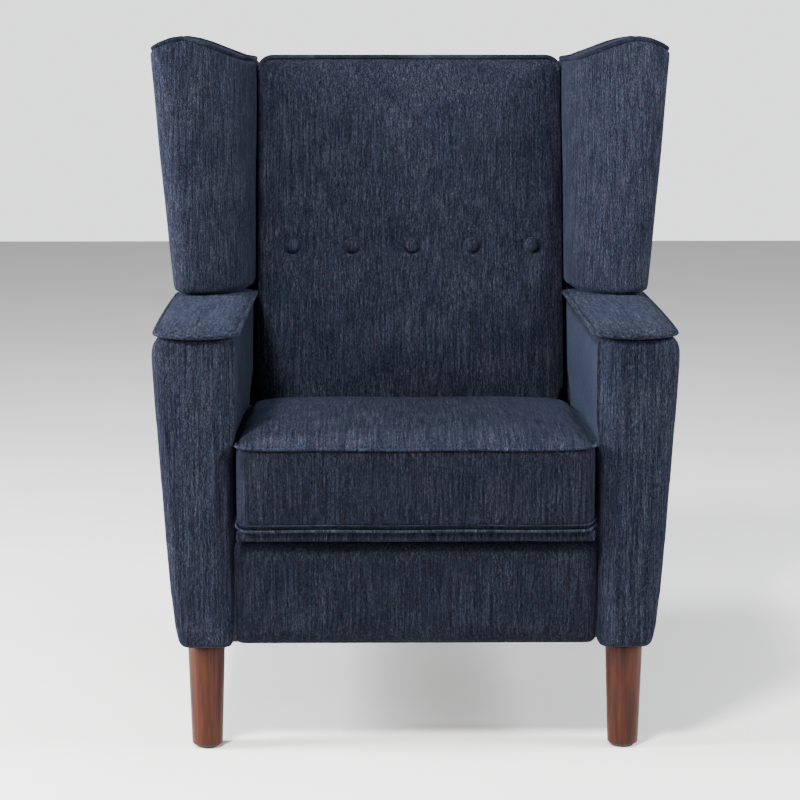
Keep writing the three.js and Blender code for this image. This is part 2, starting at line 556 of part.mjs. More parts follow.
function buildBack() {
  const back = new THREE.Group();
  back.position.set(0, BACK_FACE_Y, BACK_LEVEL_Z);
  back.rotation.x = -LEAN;
  model.add(back);

  const buttonX = Array.from({ length: BUTTON_COUNT },
    (_, i) => BUTTON_ROW_X + (i - (BUTTON_COUNT - 1) / 2) * BUTTON_PITCH);
  // Each dimple is a cone about y, with its narrow end towards the rear
  const { mouthR, floorR, depth: dimple } = DIMPLE;
  const dimples = buttonX.map((x) => solidOf(
    new THREE.CylinderGeometry(floorR, mouthR, dimple + OVERLAP, 20)
      .translate(x, (dimple - OVERLAP) / 2, BUTTON_Z)));
  const face = roundedPanel(CUSHION_HALF_X, CUSHION_FOOT.top, CUSHION_TOP_Z, CUSHION_CORNER);
  const foot = block([-CUSHION_FOOT.halfX, CUSHION_FOOT.halfX], [0, CUSHION_DEPTH],
    [CUSHION_LOW_Z, CUSHION_FOOT.top + OVERLAP]);
  const pad = alongY(face, 0, CUSHION_DEPTH).add(foot);
  addPiece('back_cushion', cut(pad, dimples), FABRIC, back);

  const dome = [[0, 0], [BUTTON_R * 0.5, 1], [BUTTON_R * 0.85, 3.2], [BUTTON_R, 6],
    [BUTTON_R, BUTTON_HEIGHT], [0, BUTTON_HEIGHT]].map((p) => new THREE.Vector2(...p));
  buttonX.forEach((x, i) => {
    const button = solidOf(new THREE.LatheGeometry(dome, 20));
    const mesh = addPiece(`button_${i + 1}`, button, BUTTON_FABRIC, back);
    mesh.position.set(x, dimple - BUTTON_HEIGHT - GAP, BUTTON_Z);
  });

  const { halfX, front, rear, low, top, rail } = BACK_FRAME;
  const depth = [front, rear];
  for (const [side, sign] of SIDES) {
    const x = [sign * halfX, sign * (halfX - rail)].sort((a, b) => a - b);
    addPiece(`back_upright_${side}`, block(x, depth, [low, top]), FRAME_WOOD, back);
  }
  const between = [-halfX + rail + GAP, halfX - rail - GAP];
  addPiece('back_top_rail', block(between, depth, [top - rail, top]), FRAME_WOOD, back);
  addPiece('back_bottom_rail', block(between, depth, [low, low + rail]), FRAME_WOOD, back);

  // Elastic straps stretched over the front of the frame, both ways
  const { thickness, width, inset } = STRAP;
  const strap = [front - GAP - thickness, front - GAP];
  const rows = Array.from({ length: STRAP.rows }, (_, i) => low + STRAP.firstZ + i * STRAP.pitch);
  const across = rows.map((z) => block([-halfX + inset, halfX - inset], strap, [z, z + width]));
  const uprights = [-STRAP.uprightX, STRAP.uprightX]
    .map((x) => block([x - width / 2, x + width / 2], strap, [low + inset, top - inset]));
  addPiece('back_webbing', joined([...across, ...uprights]), WEBBING, back);

  const panel = BACK_PANEL;
  const upper = alongY(roundedPanel(panel.wideX, panel.step, panel.top, panel.corner),
    panel.front, panel.rear);
  const lower = block([-panel.narrowX, panel.narrowX], [panel.front, panel.rear],
    [panel.low, panel.step + OVERLAP]);
  addPiece('back_panel', upper.add(lower), FABRIC, back);
}

// Outer edge of a wing at a height of the front view
function wingOuterX(z) {
  const t = (z - WING_BOTTOM_Z) / WING_FLARE_HEIGHT;
  return WING_BOTTOM_OUTER_X + WING_FLARE * (1.1 * t - 0.1 * t * t);
}

const leaned = new THREE.Matrix4().makeRotationX(-LEAN).setPosition(0, BACK_FACE_Y, BACK_LEVEL_Z);
const leanPoint = (x, y, z) => new THREE.Vector3(x, y, z).applyMatrix4(leaned).toArray();

// One level of a wing, looking down the back: seam, padded inner face, round nose, outer face
function wingRing(height) {
  const { y: noseY, r } = WING_NOSE;
  const outer = wingOuterX(BACK_LEVEL_Z + height * Math.cos(LEAN) - noseY * Math.sin(LEAN));
  const noseX = outer - r;
  const ring = [[WING_INNER_X, WING_REAR.y], [WING_INNER_X, -2]];
  const inner = new THREE.QuadraticBezierCurve(new THREE.Vector2(WING_INNER_X, -2),
    new THREE.Vector2(WING_INNER_X + 4, noseY + 4),
    new THREE.Vector2(noseX - r * 0.75, noseY - r * 0.66));
  for (const t of [0.33, 0.66]) ring.push(inner.getPoint(t).toArray());
  for (const degrees of [-140, -90, -45, 0]) {
    const a = THREE.MathUtils.degToRad(degrees);
    ring.push([noseX + r * Math.cos(a), noseY + r * Math.sin(a)]);
  }
  ring.push([(outer + WING_REAR.x) / 2 + 10, 10], [WING_REAR.x, WING_REAR.y]);
  return ring.map(([x, y]) => leanPoint(x, y, height));
}

function buildWings() {
  const { first, pitch, count } = WING_LEVELS;
  const blank = lofted(Array.from({ length: count }, (_, i) => wingRing(first + i * pitch)));

  // Front view of the wing, with its swept top
  const inside = WING_INNER_X - 2 * OVERLAP;
  const outside = wingOuterX(WING_EAR_Z);
  const [peakX, peakZ] = WING_PEAK;
  const view = new THREE.Shape();
  view.moveTo(inside, WING_BOTTOM_Z);
  view.lineTo(outside + OVERLAP, WING_BOTTOM_Z);
  view.lineTo(outside + OVERLAP, WING_EAR_Z);
  view.quadraticCurveTo(peakX + 43, peakZ - 1, peakX, peakZ);
  view.bezierCurveTo(peakX - 43, peakZ - 2, peakX - 69, WING_INNER_TOP_Z + 8, inside, WING_INNER_TOP_Z);
  const upper = blank.intersect(alongY(view, WING_VIEW_Y[0], WING_VIEW_Y[1], 10));

  const outerAt = (y) => {
    const t = (y - WING_NOSE.y) / (WING_REAR.y - WING_NOSE.y);
    return WING_BOTTOM_OUTER_X + (WING_REAR.x - WING_BOTTOM_OUTER_X) * t;
  };
  const { inner, front, low, top } = SIDE_PAD;
  const plan = [[inner, front], [outerAt(front), front], [WING_REAR.x, WING_REAR.y], [inner, WING_REAR.y]];
  const lower = lofted([low, top].map((z) => plan.map(([x, y]) => leanPoint(x, y, z))));
  addPair('wing', upper.add(lower), FABRIC);
}

function buildBackBrackets() {
  const { front, rear, low } = BACK_FRAME;
  const { armHalf, hubR, lowOnFrame, highOnFrame, heel, toe } = BRACKET;
  const onFrame = [[rear - 2, low + lowOnFrame], [rear - 2, highOnFrame], [front + 2, highOnFrame]]
    .map(([y, z]) => leanPoint(0, y, z).slice(1));
  const arm = inPlane(2, barOutline(BACK_PIVOT, BACK_PUSH_PIN, armHalf));
  const plate = inPlane(2, [offset(BACK_PIVOT, heel), ...onFrame, offset(BACK_PIVOT, toe)]);
  const hub = rodX(BACK_PIVOT, hubR, planeInner(2), planeOuter(2));
  const bracket = cut(joined([arm, plate, hub]), [pivotHole(BACK_PIVOT, 2)]);
  addPair('back_bracket', bracket.add(pin(BACK_PUSH_PIN, 2, 3)), STEEL);
}

// ---- The chair ----------------------------------------------------------------------------

buildArms();
buildCrossRails();
buildLegs();
buildRails();
buildSwingLinks();
buildSeatPlates();
buildFootrestLinks();
buildFootrest();
buildSeat();
buildBack();
buildWings();
buildBackBrackets();

export default model;
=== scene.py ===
"""Looks of the push-back wing recliner: cloth, wood, piping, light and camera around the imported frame."""
import json
import math

import bmesh
import bpy
import numpy as np
from mathutils import Euler, Matrix, Vector


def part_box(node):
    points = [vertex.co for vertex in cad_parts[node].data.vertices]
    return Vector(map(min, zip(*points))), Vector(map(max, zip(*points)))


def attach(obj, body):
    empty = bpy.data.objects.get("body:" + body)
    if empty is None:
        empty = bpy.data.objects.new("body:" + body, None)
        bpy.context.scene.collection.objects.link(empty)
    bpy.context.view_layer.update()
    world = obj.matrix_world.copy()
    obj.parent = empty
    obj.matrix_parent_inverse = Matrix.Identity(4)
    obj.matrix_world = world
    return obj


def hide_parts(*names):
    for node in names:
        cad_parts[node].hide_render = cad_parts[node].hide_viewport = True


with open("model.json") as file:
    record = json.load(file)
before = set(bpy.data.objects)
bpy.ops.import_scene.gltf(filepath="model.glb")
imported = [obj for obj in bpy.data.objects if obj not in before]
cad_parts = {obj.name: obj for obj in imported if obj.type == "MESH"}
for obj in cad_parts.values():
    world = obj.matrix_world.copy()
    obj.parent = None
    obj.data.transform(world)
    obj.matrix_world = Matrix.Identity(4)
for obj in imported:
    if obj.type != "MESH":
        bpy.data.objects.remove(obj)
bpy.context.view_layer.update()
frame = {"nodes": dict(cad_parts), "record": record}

# ---- Places, in metres, taken from the frame ----------------------------------------------

LEAN = math.radians(15)
BACK_ORIGIN = Vector((0, 0.132, 0.450))      # front face of the back cushion at seat level
PIPING_R = 0.0036
SIDES = (("left", -1), ("right", 1))

SEAT_LOW, SEAT_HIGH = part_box("seat_cushion")
ARM_LOW, ARM_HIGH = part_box("arm_cover_right")
PAD_LOW, PAD_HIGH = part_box("armrest_pad_right")
FOOT_LOW, FOOT_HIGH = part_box("footrest_pad")
FLAP_LOW, FLAP_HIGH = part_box("seat_front_flap")


def leaned(x, y, z):
    """A point of the leaning back (x across, y through, z up the cushion) in the chair's frame."""
    c, s = math.cos(LEAN), math.sin(LEAN)
    return (x, BACK_ORIGIN.y + y * c + z * s, BACK_ORIGIN.z - y * s + z * c)


# ---- Materials ----------------------------------------------------------------------------

class Nodes:
    """A short way to write a node material."""

    def __init__(self, name):
        self.material = bpy.data.materials.new(name)
        self.material.use_nodes = True
        self.tree = self.material.node_tree
        self.shader = self.tree.nodes["Principled BSDF"]

    def add(self, kind, **values):
        node = self.tree.nodes.new(kind)
        for key, value in values.items():
            if hasattr(node, key):
                setattr(node, key, value)
            else:
                node.inputs[key.replace("_", " ")].default_value = value
        return node

    def link(self, source, target):
        self.tree.links.new(source, target)

    def coordinates(self, scale, turn=(0, 0, 0)):
        """The object's own place, turned about x and then scaled."""
        vector = self.add("ShaderNodeTexCoord").outputs["Object"]
        for name, value, rest in (("Rotation", turn, (0, 0, 0)), ("Scale", scale, (1, 1, 1))):
            if tuple(value) != rest:
                mapping = self.add("ShaderNodeMapping")
                mapping.inputs[name].default_value = value
                self.link(vector, mapping.inputs["Vector"])
                vector = mapping.outputs["Vector"]
        return vector

    def noise(self, vector, scale=1.0, detail=3.0, roughness=0.55):
        node = self.add("ShaderNodeTexNoise", Scale=scale, Detail=detail, Roughness=roughness)
        self.link(vector, node.inputs["Vector"])
        return node.outputs["Fac"]

    def ramp(self, factor, stops):
        node = self.add("ShaderNodeValToRGB")
        elements = node.color_ramp.elements
        while len(elements) < len(stops):
            elements.new(0.5)
        for element, (place, color) in zip(elements, stops):
            element.position = place
            element.color = (*color, 1)
        self.link(factor, node.inputs["Fac"])
        return node.outputs["Color"]

    def blend(self, kind, factor, a, b):
        node = self.add("ShaderNodeMix", data_type="RGBA", blend_type=kind)
        node.inputs["Factor"].default_value = factor
        self.link(a, node.inputs["A"])
        self.link(b, node.inputs["B"])
        return node.outputs["Result"]

    def math(self, operation, a, b):
        node = self.add("ShaderNodeMath", operation=operation)
        for socket, value in zip(node.inputs, (a, b)):
            if isinstance(value, (int, float)):
                socket.default_value = value
            else:
                self.link(value, socket)
        return node.outputs["Value"]

    def bump(self, layers):
        """Stacks (height, strength, distance) bump layers onto the shader's normal."""
        normal = None
        for height, strength, distance in layers:
            node = self.add("ShaderNodeBump")
            node.inputs["Strength"].default_value = strength
            node.inputs["Distance"].default_value = distance
            self.link(height, node.inputs["Height"])
            if normal is not None:
                self.link(normal, node.inputs["Normal"])
            normal = node.outputs["Normal"]
        self.link(normal, self.shader.inputs["Normal"])


ACROSS = 960.0      # changes of tone per metre across the threads
ALONG = 150.0       # and along them
RIB_LENGTH = 14.0   # and along the long faint ribs
TONE_STOPS = (0.38, 0.46, 0.54, 0.65)


def chenille(name, streak, turn=(0, 0, 0), tone=0.39, mottled=0.0, sheen=0.04):
    """Navy chenille with fine broken streaks. streak is how often its tone changes along each axis."""
    n = Nodes(name)
    threads = n.noise(n.coordinates(streak, turn), 1.0, 2.0, 0.65)
    rib_scale = [v * 0.42 if v == ACROSS else RIB_LENGTH for v in streak]
    ribs = n.noise(n.coordinates(rib_scale, turn), 1.0, 3.0, 0.6)
    hues = n.noise(n.coordinates([v * 0.55 for v in streak], turn), 1.0, 2.0, 0.5)
    pile = n.noise(n.coordinates((1, 1, 1)), 780.0, 2.0, 0.6)
    nap_scale = [0.30 * v for v in streak]
    nap = n.noise(n.coordinates(nap_scale, turn), 1.0, 3.0, 0.7)
    cloud = n.noise(n.coordinates((1, 1, 1)), 19.0, 4.0, 0.6)
    mixed = n.math("ADD", n.math("MULTIPLY", threads, 0.38 - 0.1 * mottled), n.math("MULTIPLY", ribs, 0.30))
    mixed = n.math("ADD", mixed, n.math("MULTIPLY", pile, 0.32 + 0.1 * mottled))

    def toned(*colors):
        return list(zip(TONE_STOPS, [tuple(tone * v for v in color) for color in colors]))
    cool = n.ramp(mixed, toned((0.0022, 0.0030, 0.0080), (0.0090, 0.0124, 0.0250),
                               (0.0250, 0.0325, 0.0560), (0.0780, 0.0920, 0.1300)))
    warm = n.ramp(mixed, toned((0.0030, 0.0030, 0.0074), (0.0124, 0.0124, 0.0228),
                               (0.0330, 0.0325, 0.0500), (0.0930, 0.0920, 0.1180)))
    hue = n.add("ShaderNodeMix", data_type="RGBA")
    n.link(n.ramp(hues, [(0.44, (0, 0, 0)), (0.60, (0.85, 0.85, 0.85))]), hue.inputs["Factor"])
    n.link(cool, hue.inputs["A"])
    n.link(warm, hue.inputs["B"])
    soft = n.ramp(cloud, [(0.34, (0.80, 0.82, 0.88)), (0.64, (1.14, 1.12, 1.08))])
    tufts = n.ramp(nap, [(0.38, (0.86 - 0.53 * mottled,) * 3), (0.62, (1.14 + 0.68 * mottled,) * 3)])
    color = n.blend("MULTIPLY", 1.0, hue.outputs["Result"], soft)
    n.link(n.blend("MULTIPLY", 1.0, color, tufts), n.shader.inputs["Base Color"])
    n.shader.inputs["Roughness"].default_value = 0.9
    n.shader.inputs["Specular IOR Level"].default_value = 0.05
    n.shader.inputs["Sheen Weight"].default_value = sheen
    n.shader.inputs["Sheen Roughness"].default_value = 0.36
    n.shader.inputs["Sheen Tint"].default_value = (0.36, 0.50, 0.90, 1)
    n.bump([(ribs, 0.30, 0.0009), (threads, 0.30, 0.0006), (pile, 0.50, 0.0006), (nap, 0.35, 0.0012)])
    return n.material


FIGURE_STRETCH = 26.0    # how much broader the wood's figure is than its grain


def wood(name, dark, light, roughness, scale, coat=0.0):
    """Straight-grained wood whose grain runs along the axis with the lowest scale."""
    n = Nodes(name)
    grain = n.noise(n.coordinates(scale), 1.0, 5.0, 0.62)
    pores = n.noise(n.coordinates([v * 3.2 for v in scale]), 1.0, 3.0, 0.5)
    figure = n.noise(n.coordinates([v / FIGURE_STRETCH for v in scale]), 2.0, 2.0)
    mixed = n.math("ADD", n.math("MULTIPLY", grain, 0.62), n.math("MULTIPLY", figure, 0.38))
    color = n.ramp(mixed, [(0.36, dark), (0.64, light)])
    streaks = n.ramp(pores, [(0.30, (0.55, 0.50, 0.48)), (0.52, (1.0, 1.0, 1.0))])
    n.link(n.blend("MULTIPLY", 0.6, color, streaks), n.shader.inputs["Base Color"])
    n.link(n.ramp(grain, [(0.3, (roughness + 0.10,) * 3), (0.7, (roughness - 0.04,) * 3)]),
           n.shader.inputs["Roughness"])
    n.shader.inputs["Specular IOR Level"].default_value = 0.14
    n.shader.inputs["Coat Weight"].default_value = coat
    n.shader.inputs["Coat Roughness"].default_value = 0.22
    n.bump([(pores, 0.22, 0.0004), (grain, 0.12, 0.0006)])
    return n.material


def metal(name, color, roughness):
    """Rolled steel with faint brushing and oil-darkened patches."""
    n = Nodes(name)
    brushed = n.noise(n.coordinates((90, 900, 900)), 1.0, 3.0)
    patches = n.noise(n.coordinates((1, 1, 1)), 38.0, 4.0)
    tint = n.ramp(patches, [(0.35, tuple(v * 0.6 for v in color)), (0.65, color)])
    n.link(tint, n.shader.inputs["Base Color"])
    n.shader.inputs["Metallic"].default_value = 0.85
    n.link(n.ramp(patches, [(0.3, (roughness - 0.1,) * 3), (0.7, (roughness + 0.12,) * 3)]),
           n.shader.inputs["Roughness"])
    n.bump([(brushed, 0.15, 0.0003)])
    return n.material


def webbing_cloth():
    """Woven black elastic webbing."""
    n = Nodes("webbing_weave")
    across = n.add("ShaderNodeTexWave", bands_direction="X", Scale=150.0, Distortion=0.4)
    along = n.add("ShaderNodeTexWave", bands_direction="Z", Scale=150.0, Distortion=0.4)
    place = n.coordinates((1, 1, 1))
    n.link(place, across.inputs["Vector"])
    n.link(place, along.inputs["Vector"])
    weave = n.math("MULTIPLY", across.outputs["Fac"], along.outputs["Fac"])
    n.link(n.ramp(weave, [(0.1, (0.008, 0.008, 0.009)), (0.8, (0.045, 0.045, 0.05))]),
           n.shader.inputs["Base Color"])
    n.shader.inputs["Roughness"].default_value = 0.9
    n.bump([(weave, 0.5, 0.0006)])
    return n.material


def moulded_plastic():
    """Black nylon with a fine moulded grain."""
    n = Nodes("glide_nylon")
    grain = n.noise(n.coordinates((1, 1, 1)), 900.0, 2.0)
    n.link(n.ramp(grain, [(0.3, (0.012, 0.012, 0.012)), (0.7, (0.03, 0.03, 0.03))]),
           n.shader.inputs["Base Color"])
    n.shader.inputs["Roughness"].default_value = 0.55
    n.bump([(grain, 0.2, 0.0003)])
    return n.material


UPRIGHT = (ACROSS, ACROSS, ALONG)
CLOTH_ARM = chenille("chenille_upright", UPRIGHT)
CLOTH_PAD = chenille("chenille_armrest", (ACROSS, 1.4 * ALONG, ACROSS), tone=0.42, mottled=0.8, sheen=0.02)
# A lighter tone of the same cloth for the seat's top panel and its welts: painted light on the lit top
CLOTH_SEAT_PAINTED_LIGHT = chenille("chenille_seat_painted_light", (ACROSS, ALONG, ALONG), tone=0.52, sheen=0.03)
# A darker tone of the same cloth for the seat's boxing, its flap and the footrest: painted shade
CLOTH_PAINTED_SHADE = chenille("chenille_boxing_painted_shade", UPRIGHT, tone=0.27, sheen=0.04)
CLOTH_BACK = chenille("chenille_back", UPRIGHT, (LEAN, 0, 0))
# The piping cloth is a darker tone of the same chenille, partly painted shade: it darkens the top welts, the
# seat's lower seam and the button creases
CLOTH_PIPING_PAINTED_SHADE = chenille("chenille_piping_painted_shade", (ACROSS / 2,) * 3, tone=0.32, sheen=0.03)
LEG_WOOD = wood("stained_leg", (0.016, 0.0026, 0.0005), (0.055, 0.0110, 0.0020), 0.46, (150, 150, 7),
                coat=0.05)
RAW_WOOD = wood("raw_timber", (0.13, 0.078, 0.038), (0.26, 0.17, 0.092), 0.78, (9, 120, 120))
STEEL = metal("oiled_steel", (0.16, 0.165, 0.175), 0.42)
SPRING = metal("spring_wire", (0.38, 0.39, 0.40), 0.35)
WEBBING = webbing_cloth()
NYLON = moulded_plastic()


# ---- Mesh tools ---------------------------------------------------------------------------

def make_mesh(name, vertices, faces):
    mesh = bpy.data.meshes.new(name)
    mesh.from_pydata([tuple(v) for v in vertices], [], faces)
    mesh.update()
    obj = bpy.data.objects.new(name, mesh)
    bpy.context.scene.collection.objects.link(obj)
    bm = bmesh.new()
    bm.from_mesh(mesh)
    bmesh.ops.recalc_face_normals(bm, faces=bm.faces)
    bm.to_mesh(mesh)
    bm.free()
    mesh.shade_smooth()
    return obj


def loft(name, rings):
    """A closed skin through rings of equal length, capped at both ends."""
    count = len(rings[0])
    vertices = [p for ring in rings for p in ring]
    faces = []
    for row in range(len(rings) - 1):
        for i in range(count):
            a, b = row * count + i, row * count + (i + 1) % count
            faces.append((a, b, b + count, a + count))
    faces.append(tuple(reversed(range(count))))
    last = (len(rings) - 1) * count
    faces.append(tuple(range(last, last + count)))
    return make_mesh(name, vertices, faces)


def rounded_rectangle(low, high, radius, side_points, corner_points):
    """Points round a rectangle with rounded corners: low and high are its corners."""
    (x0, y0), (x1, y1) = low, high
    radius = min(radius, (x1 - x0) / 2.001, (y1 - y0) / 2.001)
    corners = [((x1 - radius, y0 + radius), -90), ((x1 - radius, y1 - radius), 0),
               ((x0 + radius, y1 - radius), 90), ((x0 + radius, y0 + radius), 180)]
    points = []
    for k, ((cx, cy), start) in enumerate(corners):
        for i in range(corner_points + 1):
            angle = math.radians(start + 90 * i / corner_points)
            points.append((cx + radius * math.cos(angle), cy + radius * math.sin(angle)))
        end = points[-1]
        (nx, ny), begin = corners[(k + 1) % 4][0], math.radians(corners[(k + 1) % 4][1])
        target = (nx + radius * math.cos(begin), ny + radius * math.sin(begin))
        for i in range(1, side_points):
            t = i / side_points
            points.append((end[0] + (target[0] - end[0]) * t, end[1] + (target[1] - end[1]) * t))
    return points


def coordinates_of(obj):
    values = np.empty(len(obj.data.vertices) * 3)
    obj.data.vertices.foreach_get("co", values)
    return values.reshape(-1, 3)


def set_coordinates(obj, values):
    obj.data.vertices.foreach_set("co", values.reshape(-1))
    obj.data.update()


def apply_modifiers(obj):
    bpy.context.view_layer.update()
    evaluated = obj.evaluated_get(bpy.context.evaluated_depsgraph_get())
    mesh = bpy.data.meshes.new_from_object(evaluated)
    old = obj.data
    obj.modifiers.clear()
    obj.data = mesh
    bpy.data.meshes.remove(old)
    obj.data.shade_smooth()


def subdivide(obj):
    modifier = obj.modifiers.new("subdivision", "SUBSURF")
    modifier.levels = modifier.render_levels = 1
    apply_modifiers(obj)


def remesh(obj, voxel, passes=6, factor=0.5):
    """An even skin of small faces, with its edges softened by smoothing."""
    modifier = obj.modifiers.new("remesh", "REMESH")
    modifier.mode = "VOXEL"
    modifier.voxel_size = voxel
    smooth = obj.modifiers.new("smooth", "SMOOTH")
    smooth.iterations = passes
    smooth.factor = factor
    apply_modifiers(obj)


def prism(name, outline, axis, low, high):
    """A flat outline carried along one axis. Outlines are (y, z) across x, or (x, z) along y."""
    def point(p, q, along):
        return {"x": (along, p, q), "y": (p, along, q), "z": (p, q, along)}[axis]
    count = len(outline)
    vertices = [point(*p, low) for p in outline] + [point(*p, high) for p in outline]
    faces = [tuple(range(count)), tuple(reversed(range(count, 2 * count)))]
    faces += [(i, (i + 1) % count, count + (i + 1) % count, count + i) for i in range(count)]
    return make_mesh(name, vertices, faces)


def intersect(obj, other):
    """Keeps what two closed skins share, in the first one."""
    modifier = obj.modifiers.new("both", "BOOLEAN")
    modifier.operation = "INTERSECT"
    modifier.object = other
    apply_modifiers(obj)
    bpy.data.objects.remove(other)
    return obj


def finish_piece(obj, body, material, nodes=()):
    """Gives a piece its material and body, and hides the nodes it stands for."""
    obj.data.materials.clear()
    obj.data.materials.append(material)
    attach(obj, body)
    if nodes:
        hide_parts(*nodes)


def piping(name, points, body, radius=PIPING_R, closed=False, material=None):
    """A covered cord sewn along a seam: a smooth curve with a round section."""
    curve = bpy.data.curves.new(name, "CURVE")
    curve.dimensions = "3D"
    curve.bevel_depth = radius
    curve.bevel_resolution = 4
    curve.use_fill_caps = True
    spline = curve.splines.new("POLY")
    spline.points.add(len(points) - 1)
    for slot, p in zip(spline.points, points):
        slot.co = (*p, 1)
    spline.use_cyclic_u = closed
    spline.use_smooth = True
    obj = bpy.data.objects.new(name, curve)
    bpy.context.scene.collection.objects.link(obj)
    # Without a cloth of its own the cord takes the darker piping tone, painted shade along its seam
    curve.materials.append(material or CLOTH_PIPING_PAINTED_SHADE)
    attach(obj, body)


CLOTH_PRESSURE = 4.0
CLOTH_FRAMES = 20
CLOTH_CAP = 0.024        # no point swells further than this


def inflate(obj, held, reach):
    """Blows a closed skin up as cloth. held is each point's hold, 0 to 1.

    The moves are scaled so that all but the last half percent of the points stay within reach.
    """
    scene = bpy.context.scene
    start = coordinates_of(obj)
    group = obj.vertex_groups.new(name="held")
    for level in np.unique(np.round(held, 2)):
        if level > 0:
            group.add([int(i) for i in np.nonzero(np.round(held, 2) == level)[0]], float(level), "REPLACE")
    modifier = obj.modifiers.new("cloth", "CLOTH")
    cloth = modifier.settings
    cloth.quality = 5
    cloth.mass = 0.3
    cloth.tension_stiffness = cloth.compression_stiffness = 18
    cloth.shear_stiffness = 6
    cloth.bending_stiffness = 0.6
    cloth.use_pressure = True
    cloth.uniform_pressure_force = CLOTH_PRESSURE
    cloth.effector_weights.gravity = 0
    cloth.vertex_group_mass = "held"
    modifier.point_cache.frame_start = 1
    modifier.point_cache.frame_end = CLOTH_FRAMES
    for number in range(1, CLOTH_FRAMES + 1):
        scene.frame_set(number)
    evaluated = obj.evaluated_get(bpy.context.evaluated_depsgraph_get())
    blown = np.empty(len(start) * 3)
    evaluated.data.vertices.foreach_get("co", blown)
    obj.modifiers.remove(modifier)
    obj.vertex_groups.remove(group)
    scene.frame_set(1)
    move = blown.reshape(-1, 3) - start
    move *= reach / np.percentile(np.linalg.norm(move, axis=1), 99.5)
    length = np.linalg.norm(move, axis=1)
    move *= np.minimum(1, CLOTH_CAP / np.maximum(length, 1e-9))[:, None]
    set_coordinates(obj, start + move)


def smoothstep(t):
    t = np.clip(t, 0, 1)
    return t * t * (3 - 2 * t)


def wrinkles(points, scale, seed):
    """A gentle repeatable unevenness, as a number for each point."""
    x, y, z = (points * scale).T
    return (np.sin(1.7 * x + 2.3 * seed + 1.3 * np.sin(1.1 * z)) * np.cos(1.3 * z - seed + np.sin(0.9 * y))
            + 0.6 * np.sin(2.9 * z + 1.9 * x + 0.7 * seed) * np.cos(2.1 * y + seed))


# ---- Seat ---------------------------------------------------------------------------------

SEAT_REAR_LOW = 0.094                        # the rear leans with the back
SEAT_BASE_Z = SEAT_LOW.z + 0.001
SEAT_PANEL_Z = SEAT_BASE_Z + 0.12            # the height whose plan the top panel takes
SEAT_CORNER_R = 0.020
FLAP_TOP_Z = SEAT_BASE_Z + 0.004             # the flap is sewn into the seat's lower seam


def seat_edge(x, y):
    """Height of the top welt: level in front, lifted at the corners, falling towards the rear."""
    fall = np.interp(y, (-0.41, -0.30, -0.10, 0.11), (0.4580, 0.4610, 0.4555, 0.4450))
    return fall + 0.0035 * (np.abs(x) / SEAT_HIGH.x) ** 8 * np.interp(y, (-0.41, -0.33), (1, 0))


def seat_base_lift(x):
    """How far the seat's lower edge rises at its round lower corners."""
    return 0.011 * (1 - np.sqrt(1 - np.clip((np.abs(x) - SEAT_HIGH.x + 0.020) / 0.021, 0, 1) ** 2))


def seat_top(x, y, share):
    """The crowned top panel. share is how much of the crown is there before it is blown up."""
    crest = np.interp(y, (-0.36, -0.25, -0.10, 0.04, 0.11), (0.024, 0.0275, 0.0260, 0.0180, 0.0150))
    front = 1 - (1 - np.clip((y - SEAT_LOW.y) / 0.066, 0, 1)) ** 3
    side = np.clip(1 - (np.abs(x) / SEAT_HIGH.x) ** 7.5, 0, 1) ** 0.48
    return seat_edge(x, y) + crest * front * side * share


def seat_outline(z, inset, radius):
    """Plan of the seat cushion at a height, drawn in by inset."""
    rear = SEAT_REAR_LOW + (z - SEAT_LOW.z) * math.tan(LEAN) - inset
    low = (SEAT_LOW.x + inset, SEAT_LOW.y + inset)
    return rounded_rectangle(low, (SEAT_HIGH.x - inset, rear), radius, 60, 8)


